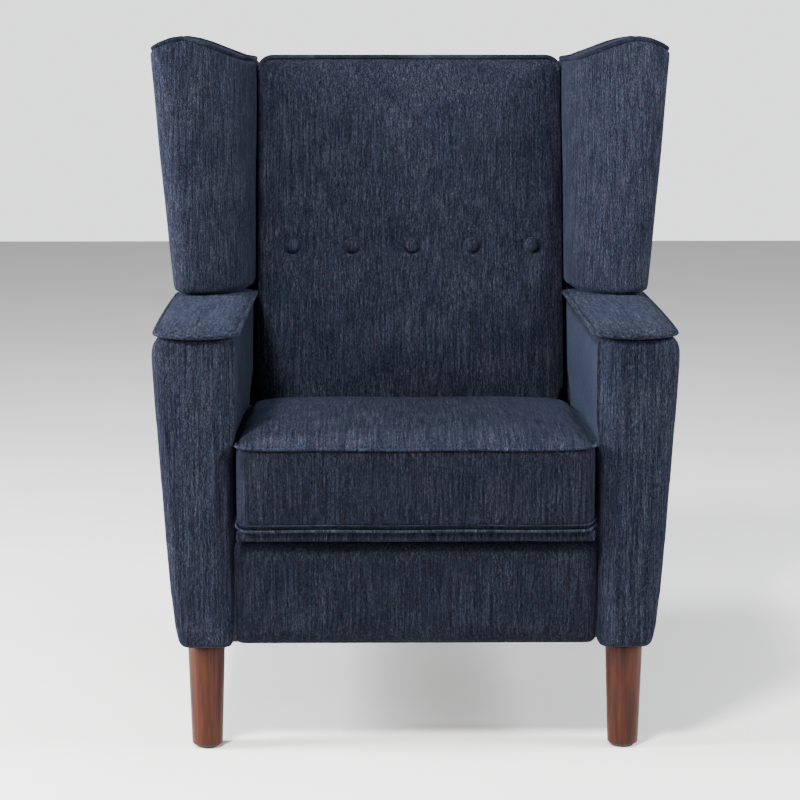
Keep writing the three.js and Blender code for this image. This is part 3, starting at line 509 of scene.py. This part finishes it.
def build_seat():
    rings = []
    for inset, z in ((0.240, SEAT_BASE_Z), (0.160, SEAT_BASE_Z), (0.080, SEAT_BASE_Z), (0.030, SEAT_BASE_Z),
                     (0.010, SEAT_BASE_Z), (0.004, SEAT_BASE_Z + 0.003)):
        rings.append([(x, y, z) for x, y in seat_outline(z, inset, 0.018)])
    boxing = 16
    for i in range(boxing + 1):
        t = i / boxing
        ring = []
        for x, y in seat_outline(SEAT_BASE_Z + 0.12 * t, 0.002, SEAT_CORNER_R):
            z = SEAT_BASE_Z + 0.006 + (float(seat_edge(x, y)) - SEAT_BASE_Z - 0.006) * t
            ring.append((x, y, z))
        rings.append(ring)
    steps = 44
    for i in range(1, steps + 1):
        inset = 0.002 + 0.245 * (i / steps) ** 1.25
        rings.append([(x, y, float(seat_top(x, y, 0.86)))
                      for x, y in seat_outline(SEAT_PANEL_Z, inset, SEAT_CORNER_R + 0.25 * inset)])
    seat = loft("seat_cushion_cloth", rings)
    remesh(seat, 0.0066, passes=1, factor=0.3)
    points = coordinates_of(seat)
    edge = seat_edge(points[:, 0], points[:, 1])
    rim = np.minimum.reduce([SEAT_HIGH.x - np.abs(points[:, 0]), points[:, 1] - SEAT_LOW.y])
    welt = np.exp(-((points[:, 2] - edge) / 0.006) ** 2) * (rim < 0.010)
    under = points[:, 2] < SEAT_BASE_Z + 0.010
    rear = points[:, 1] > SEAT_REAR_LOW + (points[:, 2] - SEAT_LOW.z) * math.tan(LEAN) - 0.020
    inflate(seat, np.clip(welt + under + rear, 0, 1), 0.0065)
    points = coordinates_of(seat)
    top = smoothstep((points[:, 2] - edge - 0.004) / 0.02)
    points[:, 2] += top * wrinkles(points, 13.0, 2.0) * 0.0009
    low = smoothstep((SEAT_BASE_Z + 0.035 - points[:, 2]) / 0.030)
    points[:, 2] += low * seat_base_lift(points[:, 0])
    front = smoothstep((SEAT_LOW.y + 0.02 - points[:, 1]) / 0.02) * (1 - top)
    points[:, 1] += front * wrinkles(points, 17.0, 5.0) * 0.0007
    set_coordinates(seat, points)
    subdivide(seat)
    finish_piece(seat, "seat", CLOTH_SEAT_PAINTED_LIGHT, ["seat_cushion"])
    seat.data.materials.append(CLOTH_PAINTED_SHADE)             # the boxing, in the darker tone of the same cloth: painted shade on the seat's front
    # Faces above the top welt keep the lighter tone and the boxing below takes the darker one: painted light
    # above, painted shade below
    for face in seat.data.polygons:
        x, y, z = face.center
        face.material_index = int(z < seat_edge(x, y))

    def welt_line(name, radius, proud, height, cloth=CLOTH_SEAT_PAINTED_LIGHT):
        line = [p for p in seat_outline(SEAT_PANEL_Z, 0.002 - proud, SEAT_CORNER_R) if p[1] < 0.07]
        line.sort(key=lambda p: math.atan2(p[0], 0.1 - p[1]))
        piping(name, [(x, y, height(x, y) + 0.0005 * math.sin(x * 31 + y * 17)) for x, y in line],
               "seat", radius, material=cloth)
    welt_line("seat_top_welt", 0.0023, 0.0008, lambda x, y: float(seat_edge(x, y)) + 0.0008)
    # The lower seam is a thin cord of the darker piping cloth: a painted shadow line along the stitched
    # groove
    welt_line("seat_bottom_seam_shadow_line", 0.0011, 0.0010, lambda x, y: SEAT_BASE_Z + 0.0125 + seat_base_lift(x),
              CLOTH_PIPING_PAINTED_SHADE)
    welt_line("seat_bottom_welt", 0.0019, 0.0010, lambda x, y: SEAT_BASE_Z + 0.0042 + seat_base_lift(x))

    # The strip of cloth that closes the gap above the footrest
    rings = []
    for i in range(9):
        t = i / 8
        z = FLAP_TOP_Z - (FLAP_TOP_Z - FLAP_LOW.z) * t
        inset = 0.0012 * (1 - math.sin(math.pi * min(max(t, 0.04), 0.96)) ** 0.5)
        low = (FLAP_LOW.x + inset, FLAP_LOW.y + inset)
        high = (FLAP_HIGH.x - inset, FLAP_HIGH.y - inset)
        rings.append([(x, y, z) for x, y in rounded_rectangle(low, high, 0.003, 60, 4)])
    flap = loft("seat_flap_cloth", rings)
    points = coordinates_of(flap)
    drop = (FLAP_TOP_Z - points[:, 2]) / (FLAP_TOP_Z - FLAP_LOW.z)
    points[:, 2] += drop * 0.0007 * (1 + np.sin(points[:, 0] * 37) * np.cos(points[:, 0] * 13 + 1))
    set_coordinates(flap, points)
    # The flap takes the darker tone: painted shade under the seat's front
    finish_piece(flap, "seat", CLOTH_PAINTED_SHADE, ["seat_front_flap"])


# ---- Footrest -----------------------------------------------------------------------------

def build_footrest():
    depth = FOOT_HIGH.y - FOOT_LOW.y
    rings = []

    def ring(inset, y, radius):
        low = (FOOT_LOW.x - 0.0015 + inset, FOOT_LOW.z - 0.0045 + inset)
        high = (FOOT_HIGH.x + 0.0015 - inset, FOOT_HIGH.z - inset)
        rings.append([(x, y, z) for x, z in rounded_rectangle(low, high, radius, 60, 8)])
    ring(0.020, FOOT_HIGH.y - 0.0005, 0.010)
    ring(0.003, FOOT_HIGH.y - 0.0005, 0.010)
    for i in range(7):
        t = i / 6
        ring(0.001 - 0.0015 * math.sin(math.pi * t), FOOT_HIGH.y - 0.002 - (depth - 0.014) * t, 0.011)
    steps = 22
    for i in range(1, steps + 1):
        t = i / steps
        inset = 0.001 + 0.074 * t ** 1.3
        ring(inset, FOOT_LOW.y + 0.012 - 0.012 * (1 - (1 - min(t * 1.35, 1)) ** 3.2), 0.011 + inset * 0.1)
    pad = loft("footrest_cloth", rings)
    remesh(pad, 0.0050, passes=4)
    points = coordinates_of(pad)
    front = smoothstep((FOOT_LOW.y + 0.015 - points[:, 1]) / 0.01)
    points[:, 1] += front * wrinkles(points, 15.0, 8.0) * 0.0008
    set_coordinates(pad, points)
    subdivide(pad)
    # The footrest takes the darker tone: painted shade under the seat's overhang
    finish_piece(pad, "footrest", CLOTH_PAINTED_SHADE, ["footrest_pad"])


# ---- Arms ---------------------------------------------------------------------------------

ARM_REAR_TOP_Y = 0.203
HINGE = Vector((0, 0.170, 0.395))
HINGE_COVER_R = 0.032
BASE_REAR_TOP_Z = 0.345
ARM_WAIST_Z = 0.437


def arm_side_outline():
    """Side view of an arm: its front, its low rear, the hump round the hinge and the leaning rear edge."""
    hump = []
    for degrees in (43, 65, 85, 105):
        a = math.radians(degrees)
        hump.append((HINGE.y + HINGE_COVER_R * math.cos(a), HINGE.z + HINGE_COVER_R * math.sin(a)))
    foot_y = hump[0][0] + hump[0][1] - BASE_REAR_TOP_Z - 0.004
    waist_y = ARM_REAR_TOP_Y - (ARM_HIGH.z - ARM_WAIST_Z) * math.tan(LEAN)
    return [(ARM_LOW.y, ARM_LOW.z), (ARM_HIGH.y, ARM_LOW.z), (ARM_HIGH.y, BASE_REAR_TOP_Z),
            (foot_y, BASE_REAR_TOP_Z), *hump, (waist_y, ARM_WAIST_Z),
            (ARM_REAR_TOP_Y, ARM_HIGH.z), (ARM_LOW.y, ARM_HIGH.z)]


def arm_front_outline():
    """Front view of an arm, a little fuller than it ends up once its edges are softened."""
    inner, bottom, top = ARM_LOW.x, ARM_LOW.z, ARM_HIGH.z
    return [(inner, bottom + 0.006), (inner + 0.006, bottom - 0.001), (0.338, bottom - 0.001),
            (0.348, bottom + 0.005), (0.353, 0.180), (0.3595, 0.234), (0.3645, 0.290), (0.3745, 0.440),
            (0.3835, 0.580), (0.3840, 0.602), (0.3800, 0.615), (0.3720, top + 0.001),
            (inner - 0.001, top + 0.001), (inner - 0.005, top - 0.006), (inner - 0.005, 0.500),
            (inner, 0.455)]


def mirrored(obj, name):
    """The same piece on the chair's other side."""
    other = obj.copy()
    other.data = obj.data.copy()
    other.name = name
    bpy.context.scene.collection.objects.link(other)
    other.data.transform(Matrix.Scale(-1, 4, Vector((1, 0, 0))))
    other.data.flip_normals()
    return other


def pair(obj, name):
    """A piece made on the right, and its copy on the left."""
    obj.name = f"{name}_right"
    return (("right", obj), ("left", mirrored(obj, f"{name}_left")))


def build_arms():
    arm = prism("arm", arm_side_outline(), "x", ARM_LOW.x - 0.02, ARM_HIGH.x + 0.02)
    section = prism("arm_section", arm_front_outline(), "y", ARM_LOW.y - 0.02, ARM_HIGH.y + 0.02)
    arm = intersect(arm, section)
    remesh(arm, 0.0060, passes=6)
    points = coordinates_of(arm)
    # The padding: a round inner edge in front, and a front face that stands full in its middle
    height = np.clip((points[:, 2] - ARM_LOW.z) / (ARM_HIGH.z - ARM_LOW.z), 0, 1)
    depth = points[:, 1] - ARM_LOW.y
    near = np.clip(1 - depth / 0.030, 0, 1)
    inner_edge = np.clip(1 - (points[:, 0] - ARM_LOW.x + 0.005) / 0.030, 0, 1)
    front_face = smoothstep(1 - depth / 0.010)
    points[:, 1] += front_face * 0.014 * inner_edge ** 2.0
    lowness = smoothstep((0.47 - points[:, 2]) / 0.05)
    waist = np.interp(points[:, 2], (0.18, 0.34), (0.2, 1.0))
    points[:, 0] += 0.012 * near ** 1.5 * smoothstep(inner_edge * 2) * lowness * waist
    across = np.clip((points[:, 0] - ARM_LOW.x) / 0.108, 0, 1)
    points[:, 1] -= front_face * 0.0035 * np.sin(np.pi * across) ** 0.7
    points += np.outer(wrinkles(points, 9.0, 3.0) * 0.0007 * (1 - height * 0.4), (0.6, 0.5, 0.0))
    set_coordinates(arm, points)
    subdivide(arm)
    for side, obj in pair(arm, "arm_cloth"):
        finish_piece(obj, "root", CLOTH_ARM, [f"arm_cover_{side}"])


PAD_FRONT_OUTER_X = 0.3795
PAD_SEAM_Z = PAD_LOW.z + 0.0050
PAD_REAR_CORNER = 0.046
PAD_INNER_CORNER = 0.012


def pad_outline(inset):
    """Plan of an armrest pad: bowed front with round corners, and an outer edge that flares rearwards."""
    inner, outer = PAD_LOW.x + inset, PAD_FRONT_OUTER_X - inset
    front, rear = PAD_LOW.y + inset, PAD_HIGH.y - 0.008 - inset
    rear_outer = PAD_HIGH.x - 0.001 - inset
    points = []
    for i in range(49):                       # front edge, from the inner to the outer corner
        edge = 2 * i / 48 - 1
        reach = math.copysign(1 - (1 - abs(edge)) ** 1.5, edge)
        x = (inner + outer) / 2 + (outer - inner) / 2 * reach
        corner_round = 1 - math.sqrt(1 - min(abs(reach), 1) ** 7)
        points.append((x, front + 0.014 * reach * reach + 0.020 * corner_round))
    last = points[-1][1]
    corner, inner_corner = PAD_REAR_CORNER - inset * 0.5, PAD_INNER_CORNER - inset * 0.15
    for i in range(1, 61):                    # outer edge, a little convex
        t = i / 60
        x = outer + (rear_outer - outer) * (1 - (1 - t) ** 2.3)
        points.append((x, last + (rear - corner - last) * t))
    for i in range(1, 13):
        a = math.radians(90 * i / 12)
        points.append((rear_outer - corner + corner * math.cos(a), rear - corner + corner * math.sin(a)))
    points += [(rear_outer - corner + (inner - rear_outer + corner + inner_corner) * i / 24, rear)
               for i in range(1, 25)]
    for i in range(1, 13):
        a = math.radians(90 + 90 * i / 12)
        points.append((inner + inner_corner * (1 + math.cos(a)), rear - inner_corner * (1 - math.sin(a))))
    first = points[0][1]
    points += [(inner, rear - inner_corner + (first - rear + inner_corner) * i / 60) for i in range(1, 60)]
    return points


def nose_drop(x, y):
    """How far the pad's front dips below its flat part, most of all in its middle."""
    middle = 1 - ((x - (PAD_LOW.x + PAD_FRONT_OUTER_X) / 2) / 0.064) ** 2
    return (0.0005 + 0.0050 * np.clip(middle, 0, 1)) * smoothstep((PAD_LOW.y + 0.090 - y) / 0.090) ** 1.3


def build_armrests():
    thickness = PAD_HIGH.z - PAD_LOW.z
    rings = []
    for inset, height in ((0.055, 0.0), (0.020, 0.0), (0.004, 0.0), (0.0012, 0.0020), (0.0005, 0.0045),
                          (0.0012, 0.0070)):
        rings.append([(x, y, PAD_LOW.z + height) for x, y in pad_outline(inset)])
    steps = 18
    for i in range(1, steps + 1):
        t = i / steps
        rise = 0.0070 + (thickness - 0.0070) * (1 - (1 - min(t * 1.25, 1)) ** 2.6)
        rings.append([(x, y, PAD_LOW.z + rise) for x, y in pad_outline(0.0012 + 0.056 * t ** 1.35)])
    pad = loft("armrest", rings)
    points = coordinates_of(pad)
    share = np.clip((points[:, 2] - PAD_LOW.z) / thickness, 0, 1)
    points[:, 2] -= nose_drop(points[:, 0], points[:, 1]) * (0.45 + 0.55 * share)
    pucker = np.sin(points[:, 0] * 520) * smoothstep((PAD_LOW.y + 0.030 - points[:, 1]) / 0.03)
    points[:, 2] += share * (wrinkles(points, 21.0, 1.0) * 0.0006 + pucker * 0.0003)
    set_coordinates(pad, points)
    for side, obj in pair(pad, "armrest_cloth"):
        finish_piece(obj, "root", CLOTH_PAD, [f"armrest_pad_{side}"])
    for side, sign in SIDES:
        line = [(sign * x, y, PAD_SEAM_Z - 0.6 * float(nose_drop(x, y))) for x, y in pad_outline(0.0002)]
        piping(f"armrest_welt_{side}", line, "root", 0.0038, closed=True, material=CLOTH_PAD)


# ---- Back ---------------------------------------------------------------------------------

BACK_HALF_X = 0.2590
BACK_FOOT_HALF_X = 0.2475                    # narrower between the hinges
BACK_FOOT_TOP = 0.020
BACK_TOP = 0.5905
BACK_BOTTOM = -0.110
BACK_DEPTH = 0.083
BACK_CORNER = 0.024
BUTTON_HEIGHT = 0.263
BUTTON_PITCH = 0.101
BUTTON_ROW_X = 0.004                         # the row sits a little off centre
BUTTON_X = [BUTTON_ROW_X + (i - 2) * BUTTON_PITCH for i in range(5)]
BUTTON_R = 0.0130
TUFT_DEPTH = 0.0095


def tuft(x, z):
    """How far the cushion's front is pulled in by its buttons."""
    depth = np.zeros_like(x)
    for bx in BUTTON_X:
        r = np.hypot(x - bx, z - BUTTON_HEIGHT)
        depth = np.maximum(depth, TUFT_DEPTH * np.exp(-np.clip(r - 0.008, 0, None) / 0.0125))
    crease = np.exp(-((z - BUTTON_HEIGHT) / 0.007) ** 2) * smoothstep((BUTTON_PITCH * 2.3 - np.abs(x)) / 0.05)
    return np.maximum(depth, 0.0022 * crease)


def build_back_cushion():
    rings = []

    def ring(inset, y, radius):
        outline = rounded_rectangle((-BACK_HALF_X + inset, BACK_BOTTOM + inset),
                                    (BACK_HALF_X - inset, BACK_TOP - inset), radius, 90, 12)
        rings.append([(x, y, z) for x, z in outline])
    for inset in (0.235, 0.140, 0.060):
        ring(inset, BACK_DEPTH, 0.030 + inset * 0.1)
    ring(0.012, BACK_DEPTH, 0.034)
    for i in range(9):
        ring(0.0006, BACK_DEPTH - 0.003 - (BACK_DEPTH - 0.022) * i / 8, BACK_CORNER)
    steps = 56
    for i in range(1, steps + 1):
        inset = 0.0006 + 0.242 * (i / steps) ** 1.12
        round_off = (1 - min(inset / 0.046, 1)) ** 2.6
        ring(inset, 0.0195 * round_off + 0.0050, BACK_CORNER + inset * 0.12)
    pad = loft("back_cushion_cloth", rings)
    remesh(pad, 0.0066, passes=1, factor=0.3)
    points = coordinates_of(pad)
    facing = smoothstep((0.030 - points[:, 1]) / 0.020)
    points[:, 1] += facing * tuft(points[:, 0], points[:, 2])
    set_coordinates(pad, points)
    button = np.min([np.hypot(points[:, 0] - bx, points[:, 2] - BUTTON_HEIGHT) for bx in BUTTON_X], axis=0)
    held = (button < 0.0105) * facing
    rim = np.minimum(BACK_HALF_X - np.abs(points[:, 0]), BACK_TOP - points[:, 2])
    behind = np.maximum(smoothstep((points[:, 1] - 0.055) / 0.012), smoothstep((0.016 - rim) / 0.010))
    below = smoothstep((0.0 - points[:, 2]) / 0.040)
    inflate(pad, np.clip(held + behind + below, 0, 1), 0.0105)
    points = coordinates_of(pad)
    points[:, 1] += facing * wrinkles(points, 9.0, 4.0) * 0.0007
    limit = np.interp(points[:, 2], (BACK_FOOT_TOP - 0.008, BACK_FOOT_TOP + 0.004),
                      (BACK_FOOT_HALF_X, BACK_HALF_X))
    points[:, 0] = np.clip(points[:, 0], -limit - 0.0005, limit + 0.0005)
    points[:, 2] = np.minimum(points[:, 2], BACK_TOP + 0.002)
    set_coordinates(pad, np.array([leaned(*p) for p in points]))
    subdivide(pad)
    finish_piece(pad, "back", CLOTH_BACK, ["back_cushion"])

    half = BACK_HALF_X - 0.0035
    centre_x, centre_z = half - BACK_CORNER, BACK_TOP - BACK_CORNER
    arc = [(centre_x + BACK_CORNER * math.sin(a), centre_z + BACK_CORNER * math.cos(a))
           for a in [math.radians(v) for v in range(90, -1, -9)]]
    line = arc + [(-x, z) for x, z in reversed(arc)]
    dense = [line[0]]
    for a, b in zip(line, line[1:]):
        parts = max(1, int(math.hypot(b[0] - a[0], b[1] - a[1]) / 0.012))
        dense += [(a[0] + (b[0] - a[0]) * i / parts, a[1] + (b[1] - a[1]) * i / parts)
                  for i in range(1, parts + 1)]
    piping("back_top_welt", [leaned(x, 0.020, z - 0.001) for x, z in dense], "back", 0.0042)


def build_buttons():
    """Cloth-covered buttons: a domed cap with a rolled edge, and round it a cord of the darker piping cloth,
    painted shade of the crease where it is pulled in.
    """
    profile = [(0.0, 0.0), (0.0035, 0.0002), (0.0070, 0.0009), (0.0098, 0.0021), (0.0118, 0.0038),
               (0.0129, 0.0058), (0.0130, 0.0072), (0.0122, 0.0084), (0.0100, 0.0092)]
    segments = 40
    for k, bx in enumerate(BUTTON_X):
        depth = TUFT_DEPTH - 0.0048
        rings = [[leaned(bx + max(r, 0.0004) * math.cos(2 * math.pi * i / segments), y + depth - 0.0015,
                         BUTTON_HEIGHT + max(r, 0.0004) * math.sin(2 * math.pi * i / segments))
                  for i in range(segments)] for r, y in profile]
        button = loft(f"button_cloth_{k + 1}", rings)
        finish_piece(button, "back", CLOTH_BACK, [f"button_{k + 1}"])
        # Round each button a raised cord in the darker piping cloth: its darker tone is painted shade of the
        # crease
        ring = [leaned(bx + BUTTON_R * math.cos(a), depth + 0.0064, BUTTON_HEIGHT + BUTTON_R * math.sin(a))
                for a in [2 * math.pi * i / segments for i in range(segments)]]
        piping(f"button_crease_shade_{k + 1}", ring, "back", 0.0015, closed=True)


WING_SEAM_X = 0.2600
WING_NOSE_Y = -0.112
WING_NOSE_R = 0.028
WING_REAR = (0.302, 0.112)
WING_BOTTOM_Z = 0.6362
WING_HEIGHT = 0.395
WING_SIDE = (0.2635, 0.038)                  # the lower outer side's inner front corner
WING_SIDE_OUTER_X = 0.329


def wing_outer_x(z):
    """How far out the wing's outer side stands at a height."""
    t = (z - WING_BOTTOM_Z) / 0.393
    return 0.3855 + 0.0430 * (1.1 * t - 0.1 * t * t)


def wing_top_z(x):
    """The swept top edge in the front view: high at the ear, falling to the back cushion."""
    return float(np.interp(x, (0.246, 0.256, 0.272, 0.282, 0.300, 0.320, 0.338, 0.356, 0.375, 0.392, 0.410,
                               0.428),
                           (1.0040, 1.0125, 1.0150, 1.0165, 1.0235, 1.0318, 1.0395, 1.0455, 1.0490, 1.0465,
                            1.0395, 1.0300)))


def wing_section(z, inset):
    """Plan of a wing at a height: seam, padded inner face, round nose, outer face, rear."""
    outer = wing_outer_x(z) - inset
    r = WING_NOSE_R - inset * 0.6
    nose_x, nose_y = outer - r, WING_NOSE_Y
    seam_x = WING_SEAM_X + inset
    points = []
    turn = math.radians(-100)                # where the inner face meets the nose, without a crease
    start, end = (seam_x, 0.004), (nose_x + r * math.cos(turn), nose_y + r * math.sin(turn))
    control = (seam_x + 0.006, end[1] + 0.176 * (end[0] - seam_x - 0.006))
    inner_steps = 34
    for i in range(inner_steps):
        t = i / inner_steps
        u = t ** 0.85
        points.append(tuple((1 - u) ** 2 * a + 2 * u * (1 - u) * c + u * u * b
                            for a, c, b in zip(start, control, end)))
    for i in range(17):
        a = turn * (1 - i / 16)
        points.append((nose_x + r * math.cos(a), nose_y + r * math.sin(a)))
    rear = (WING_REAR[0] - inset, WING_REAR[1] - inset)
    swell = ((outer + rear[0]) / 2 + 0.014, 0.01)
    for i in range(1, 30):
        t = i / 30
        points.append(tuple((1 - t) ** 2 * a + 2 * t * (1 - t) * c + t * t * b
                            for a, c, b in zip((outer, nose_y), swell, rear)))
    points += [(rear[0] + (seam_x - rear[0]) * i / 8, rear[1]) for i in range(9)]
    points += [(seam_x, rear[1] + (0.004 - rear[1]) * i / 18) for i in range(1, 18)]
    return points


def wing_point(x, y, z_world):
    """A point of the wing from its plan place and its height in the chair's frame."""
    up = (z_world - BACK_ORIGIN.z + y * math.sin(LEAN)) / math.cos(LEAN)
    return leaned(x, y, up)


def build_wings():
    rings = []
    levels = 64
    for i in range(levels + 1):
        t = i / levels
        nominal = WING_BOTTOM_Z + WING_HEIGHT * t
        low = max(0.0, 1 - t * WING_HEIGHT / 0.012)
        high = max(0.0, 1 - (1 - t) * WING_HEIGHT / 0.010)
        inset = 0.011 * (1 - math.sqrt(1 - low * low)) + 0.007 * (1 - math.sqrt(1 - high * high))
        ring = []
        for x, y in wing_section(nominal, inset):
            top = wing_top_z(x) - 0.002
            z = WING_BOTTOM_Z + (top - WING_BOTTOM_Z) * t
            ring.append(wing_point(x, y, z))
        rings.append(ring)
    rim = wing_section(WING_BOTTOM_Z + WING_HEIGHT, 0.007)
    middle = np.mean(np.array(rim), axis=0)
    for shrink in (0.12, 0.3, 0.5, 0.7, 0.88, 0.97):      # the top, which follows the swept edge
        ring = []
        for x, y in rim:
            x, y = x + (middle[0] - x) * shrink, y + (middle[1] - y) * shrink
            ring.append(wing_point(x, y, wing_top_z(x) - 0.002 + 0.0025 * shrink * (2 - shrink)))
        rings.append(ring)
    wing = loft("wing", rings)
    points = coordinates_of(wing)
    points += np.outer(wrinkles(points, 10.0, 6.0) * 0.0009, (0.7, 0.7, 0.0))
    set_coordinates(wing, points)
    for side, obj in pair(wing, "wing_cloth"):
        finish_piece(obj, "back", CLOTH_BACK, [f"wing_{side}"])

    edge = wing_section(WING_BOTTOM_Z + WING_HEIGHT, 0.0055)
    line = [wing_point(x, y, wing_top_z(x) - 0.0028) for x, y in edge]
    for side, sign in SIDES:
        piping(f"wing_welt_{side}", [(sign * x, y, z) for x, y, z in line], "back", 0.0044, closed=True)

    # The lower part of the wing's outer side, which runs down behind the arm
    rings = []
    for i in range(24):
        t = i / 23
        up = -0.008 + 0.262 * t
        soft = 0.008 * (max(0.0, 1 - t * 12)) ** 2
        low = (WING_SIDE[0] + soft, WING_SIDE[1] + soft)
        plan = rounded_rectangle(low, (WING_SIDE_OUTER_X - soft, 0.1115 - soft), 0.012, 12, 6)
        slant = (WING_SIDE_OUTER_X - WING_REAR[0]) / 0.084
        rings.append([leaned(x - max(0.0, (x - WING_SIDE[0]) / 0.0655) * slant * (y - WING_SIDE[1]), y, up)
                      for x, y in plan])
    lower = loft("wing_lower", rings)
    for side, obj in pair(lower, "wing_lower_cloth"):
        finish_piece(obj, "back", CLOTH_BACK)


PANEL_VOXEL = 0.0045


def from_cad(node, name, passes):
    """A softened copy of a plain upholstered panel."""
    source = frame["nodes"][node]
    obj = bpy.data.objects.new(name, source.data.copy())
    bpy.context.scene.collection.objects.link(obj)
    bm = bmesh.new()
    bm.from_mesh(obj.data)
    bmesh.ops.remove_doubles(bm, verts=bm.verts, dist=0.00002)
    bm.to_mesh(obj.data)
    bm.free()
    remesh(obj, PANEL_VOXEL, passes)
    return obj


BAND_LOW, BAND_HIGH = (0.0838, 0.5685), (0.1145, 0.5868)    # through and up, in the leaning back


def build_rear():
    panel = from_cad("back_panel", "outside_back_cloth", 3)
    finish_piece(panel, "back", CLOTH_BACK, ["back_panel"])
    # The band of cloth over the back's top rail, between the cushion and the outside back
    rings = []
    (front, bottom), (rear, top) = BAND_LOW, BAND_HIGH
    for i in range(41):
        inset = 0.004 if i in (0, 40) else 0.0
        plan = rounded_rectangle((front + inset, bottom + inset), (rear - inset, top - inset), 0.006, 4, 6)
        rings.append([leaned(0.2585 * (i / 20 - 1), y, up) for y, up in plan])
    band = loft("back_top_cloth", rings)
    finish_piece(band, "back", CLOTH_BACK)
    base = from_cad("rear_base_panel", "rear_base_cloth", 4)
    finish_piece(base, "root", CLOTH_ARM, ["rear_base_panel"])


# ---- Hard pieces --------------------------------------------------------------------------

def build_legs():
    """Turned, tapered legs with eased ends, in the place of the plain lathe solids."""
    for place in ("front", "rear"):
        for side, _ in SIDES:
            node = f"leg_{place}_{side}"
            low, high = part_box(node)
            cx, cy = (low.x + high.x) / 2, (low.y + high.y) / 2
            top, bottom = ARM_LOW.z - 0.0004, low.z
            r_top, r_bottom = (high.x - low.x) / 2, (high.x - low.x) / 2 * 0.829
            profile = [(0.006, bottom), (r_bottom - 0.003, bottom), (r_bottom - 0.0008, bottom + 0.0008),
                       (r_bottom, bottom + 0.003)]
            profile += [(r_bottom + (r_top - r_bottom) * t, bottom + 0.003 + (top - bottom - 0.006) * t)
                        for t in [i / 12 for i in range(1, 13)]]
            profile += [(r_top - 0.0008, top - 0.0008), (r_top - 0.003, top), (0.006, top)]
            rings = [[(cx + r * math.cos(2 * math.pi * i / 64), cy + r * math.sin(2 * math.pi * i / 64), z)
                      for i in range(64)] for r, z in profile]
            finish_piece(loft(f"{node}_turned", rings), "root", LEG_WOOD, [node])


def finish_cad():
    """Procedural finishes for the frame's own nodes that stay visible."""
    finishes = {"leg_wood": LEG_WOOD, "frame_wood": RAW_WOOD, "mechanism_steel": STEEL,
                "spring_steel": SPRING, "webbing": WEBBING, "glide_plastic": NYLON}
    for row in frame["record"]["subparts"]:
        material = finishes.get(row["material_slot"])
        if material:
            mesh = frame["nodes"][row["node"]].data
            mesh.materials.clear()
            mesh.materials.append(material)


# ---- Stage, light and camera --------------------------------------------------------------

def build_stage():
    bpy.ops.mesh.primitive_plane_add(size=14, location=(0, 1.5, -0.0002))
    floor = bpy.context.object
    floor.name = "floor"
    n = Nodes("pale_floor")
    cloudy = n.noise(n.coordinates((1, 1, 1)), 1.6, 3.0)
    n.link(n.ramp(cloudy, [(0.3, (0.74, 0.735, 0.72)), (0.7, (0.80, 0.795, 0.785))]),
           n.shader.inputs["Base Color"])
    n.shader.inputs["Roughness"].default_value = 0.85
    floor.data.materials.append(n.material)

    world = bpy.data.worlds.new("studio")
    bpy.context.scene.world = world
    world.use_nodes = True
    tree = world.node_tree
    background = tree.nodes["Background"]
    height = tree.nodes.new("ShaderNodeSeparateXYZ")
    ramp = tree.nodes.new("ShaderNodeValToRGB")      # a bright horizon under a softer sky
    for element, place, value in zip(ramp.color_ramp.elements, (0.03, 0.12), (1.0, 0.24)):
        element.position = place
        element.color = (0.96 * value, 0.97 * value, value, 1)
    tree.links.new(tree.nodes.new("ShaderNodeTexCoord").outputs["Generated"], height.inputs["Vector"])
    tree.links.new(height.outputs["Z"], ramp.inputs["Fac"])
    tree.links.new(ramp.outputs["Color"], background.inputs["Color"])
    background.inputs["Strength"].default_value = 2.0

    def area(name, place, aim, size, power, color=(1, 1, 1)):
        data = bpy.data.lights.new(name, "AREA")
        data.shape = "RECTANGLE"
        data.size, data.size_y = size
        data.energy = power
        data.color = color
        lamp = bpy.data.objects.new(name, data)
        lamp.location = place
        lamp.rotation_euler = (Vector(aim) - Vector(place)).to_track_quat("-Z", "Y").to_euler()
        bpy.context.scene.collection.objects.link(lamp)
    area("key", (-1.10, -2.50, 3.50), (0.0, 0.0, 0.60), (0.70, 0.70), 430, (1.0, 0.98, 0.95))
    area("side", (-3.2, -0.6, 1.5), (0.1, 0.0, 0.55), (1.0, 1.2), 520, (0.96, 0.98, 1.0))
    area("right", (2.9, -0.7, 1.9), (-0.2, 0.0, 0.55), (1.2, 1.2), 210, (0.96, 0.98, 1.0))
    area("fill", (2.4, -3.2, 1.6), (0.0, 0.0, 0.5), (2.0, 2.0), 26, (0.94, 0.97, 1.0))


CAMERA_DIP, CAMERA_TURN = 8.612, 0.649       # degrees, down and to the right


def build_camera():
    data = bpy.data.cameras.new("camera")
    data.lens = 109.9
    data.sensor_width = 36
    camera = bpy.data.objects.new("camera", data)
    camera.location = (-0.063, -3.895, 1.0596)
    camera.rotation_euler = Euler((math.radians(90 - CAMERA_DIP), 0, math.radians(-CAMERA_TURN)))
    bpy.context.scene.collection.objects.link(camera)
    bpy.context.scene.camera = camera


build_camera()
build_stage()
finish_cad()
build_legs()
build_arms()
build_armrests()
build_seat()
build_footrest()
build_back_cushion()
build_buttons()
build_wings()
build_rear()

bpy.context.view_layer.update()
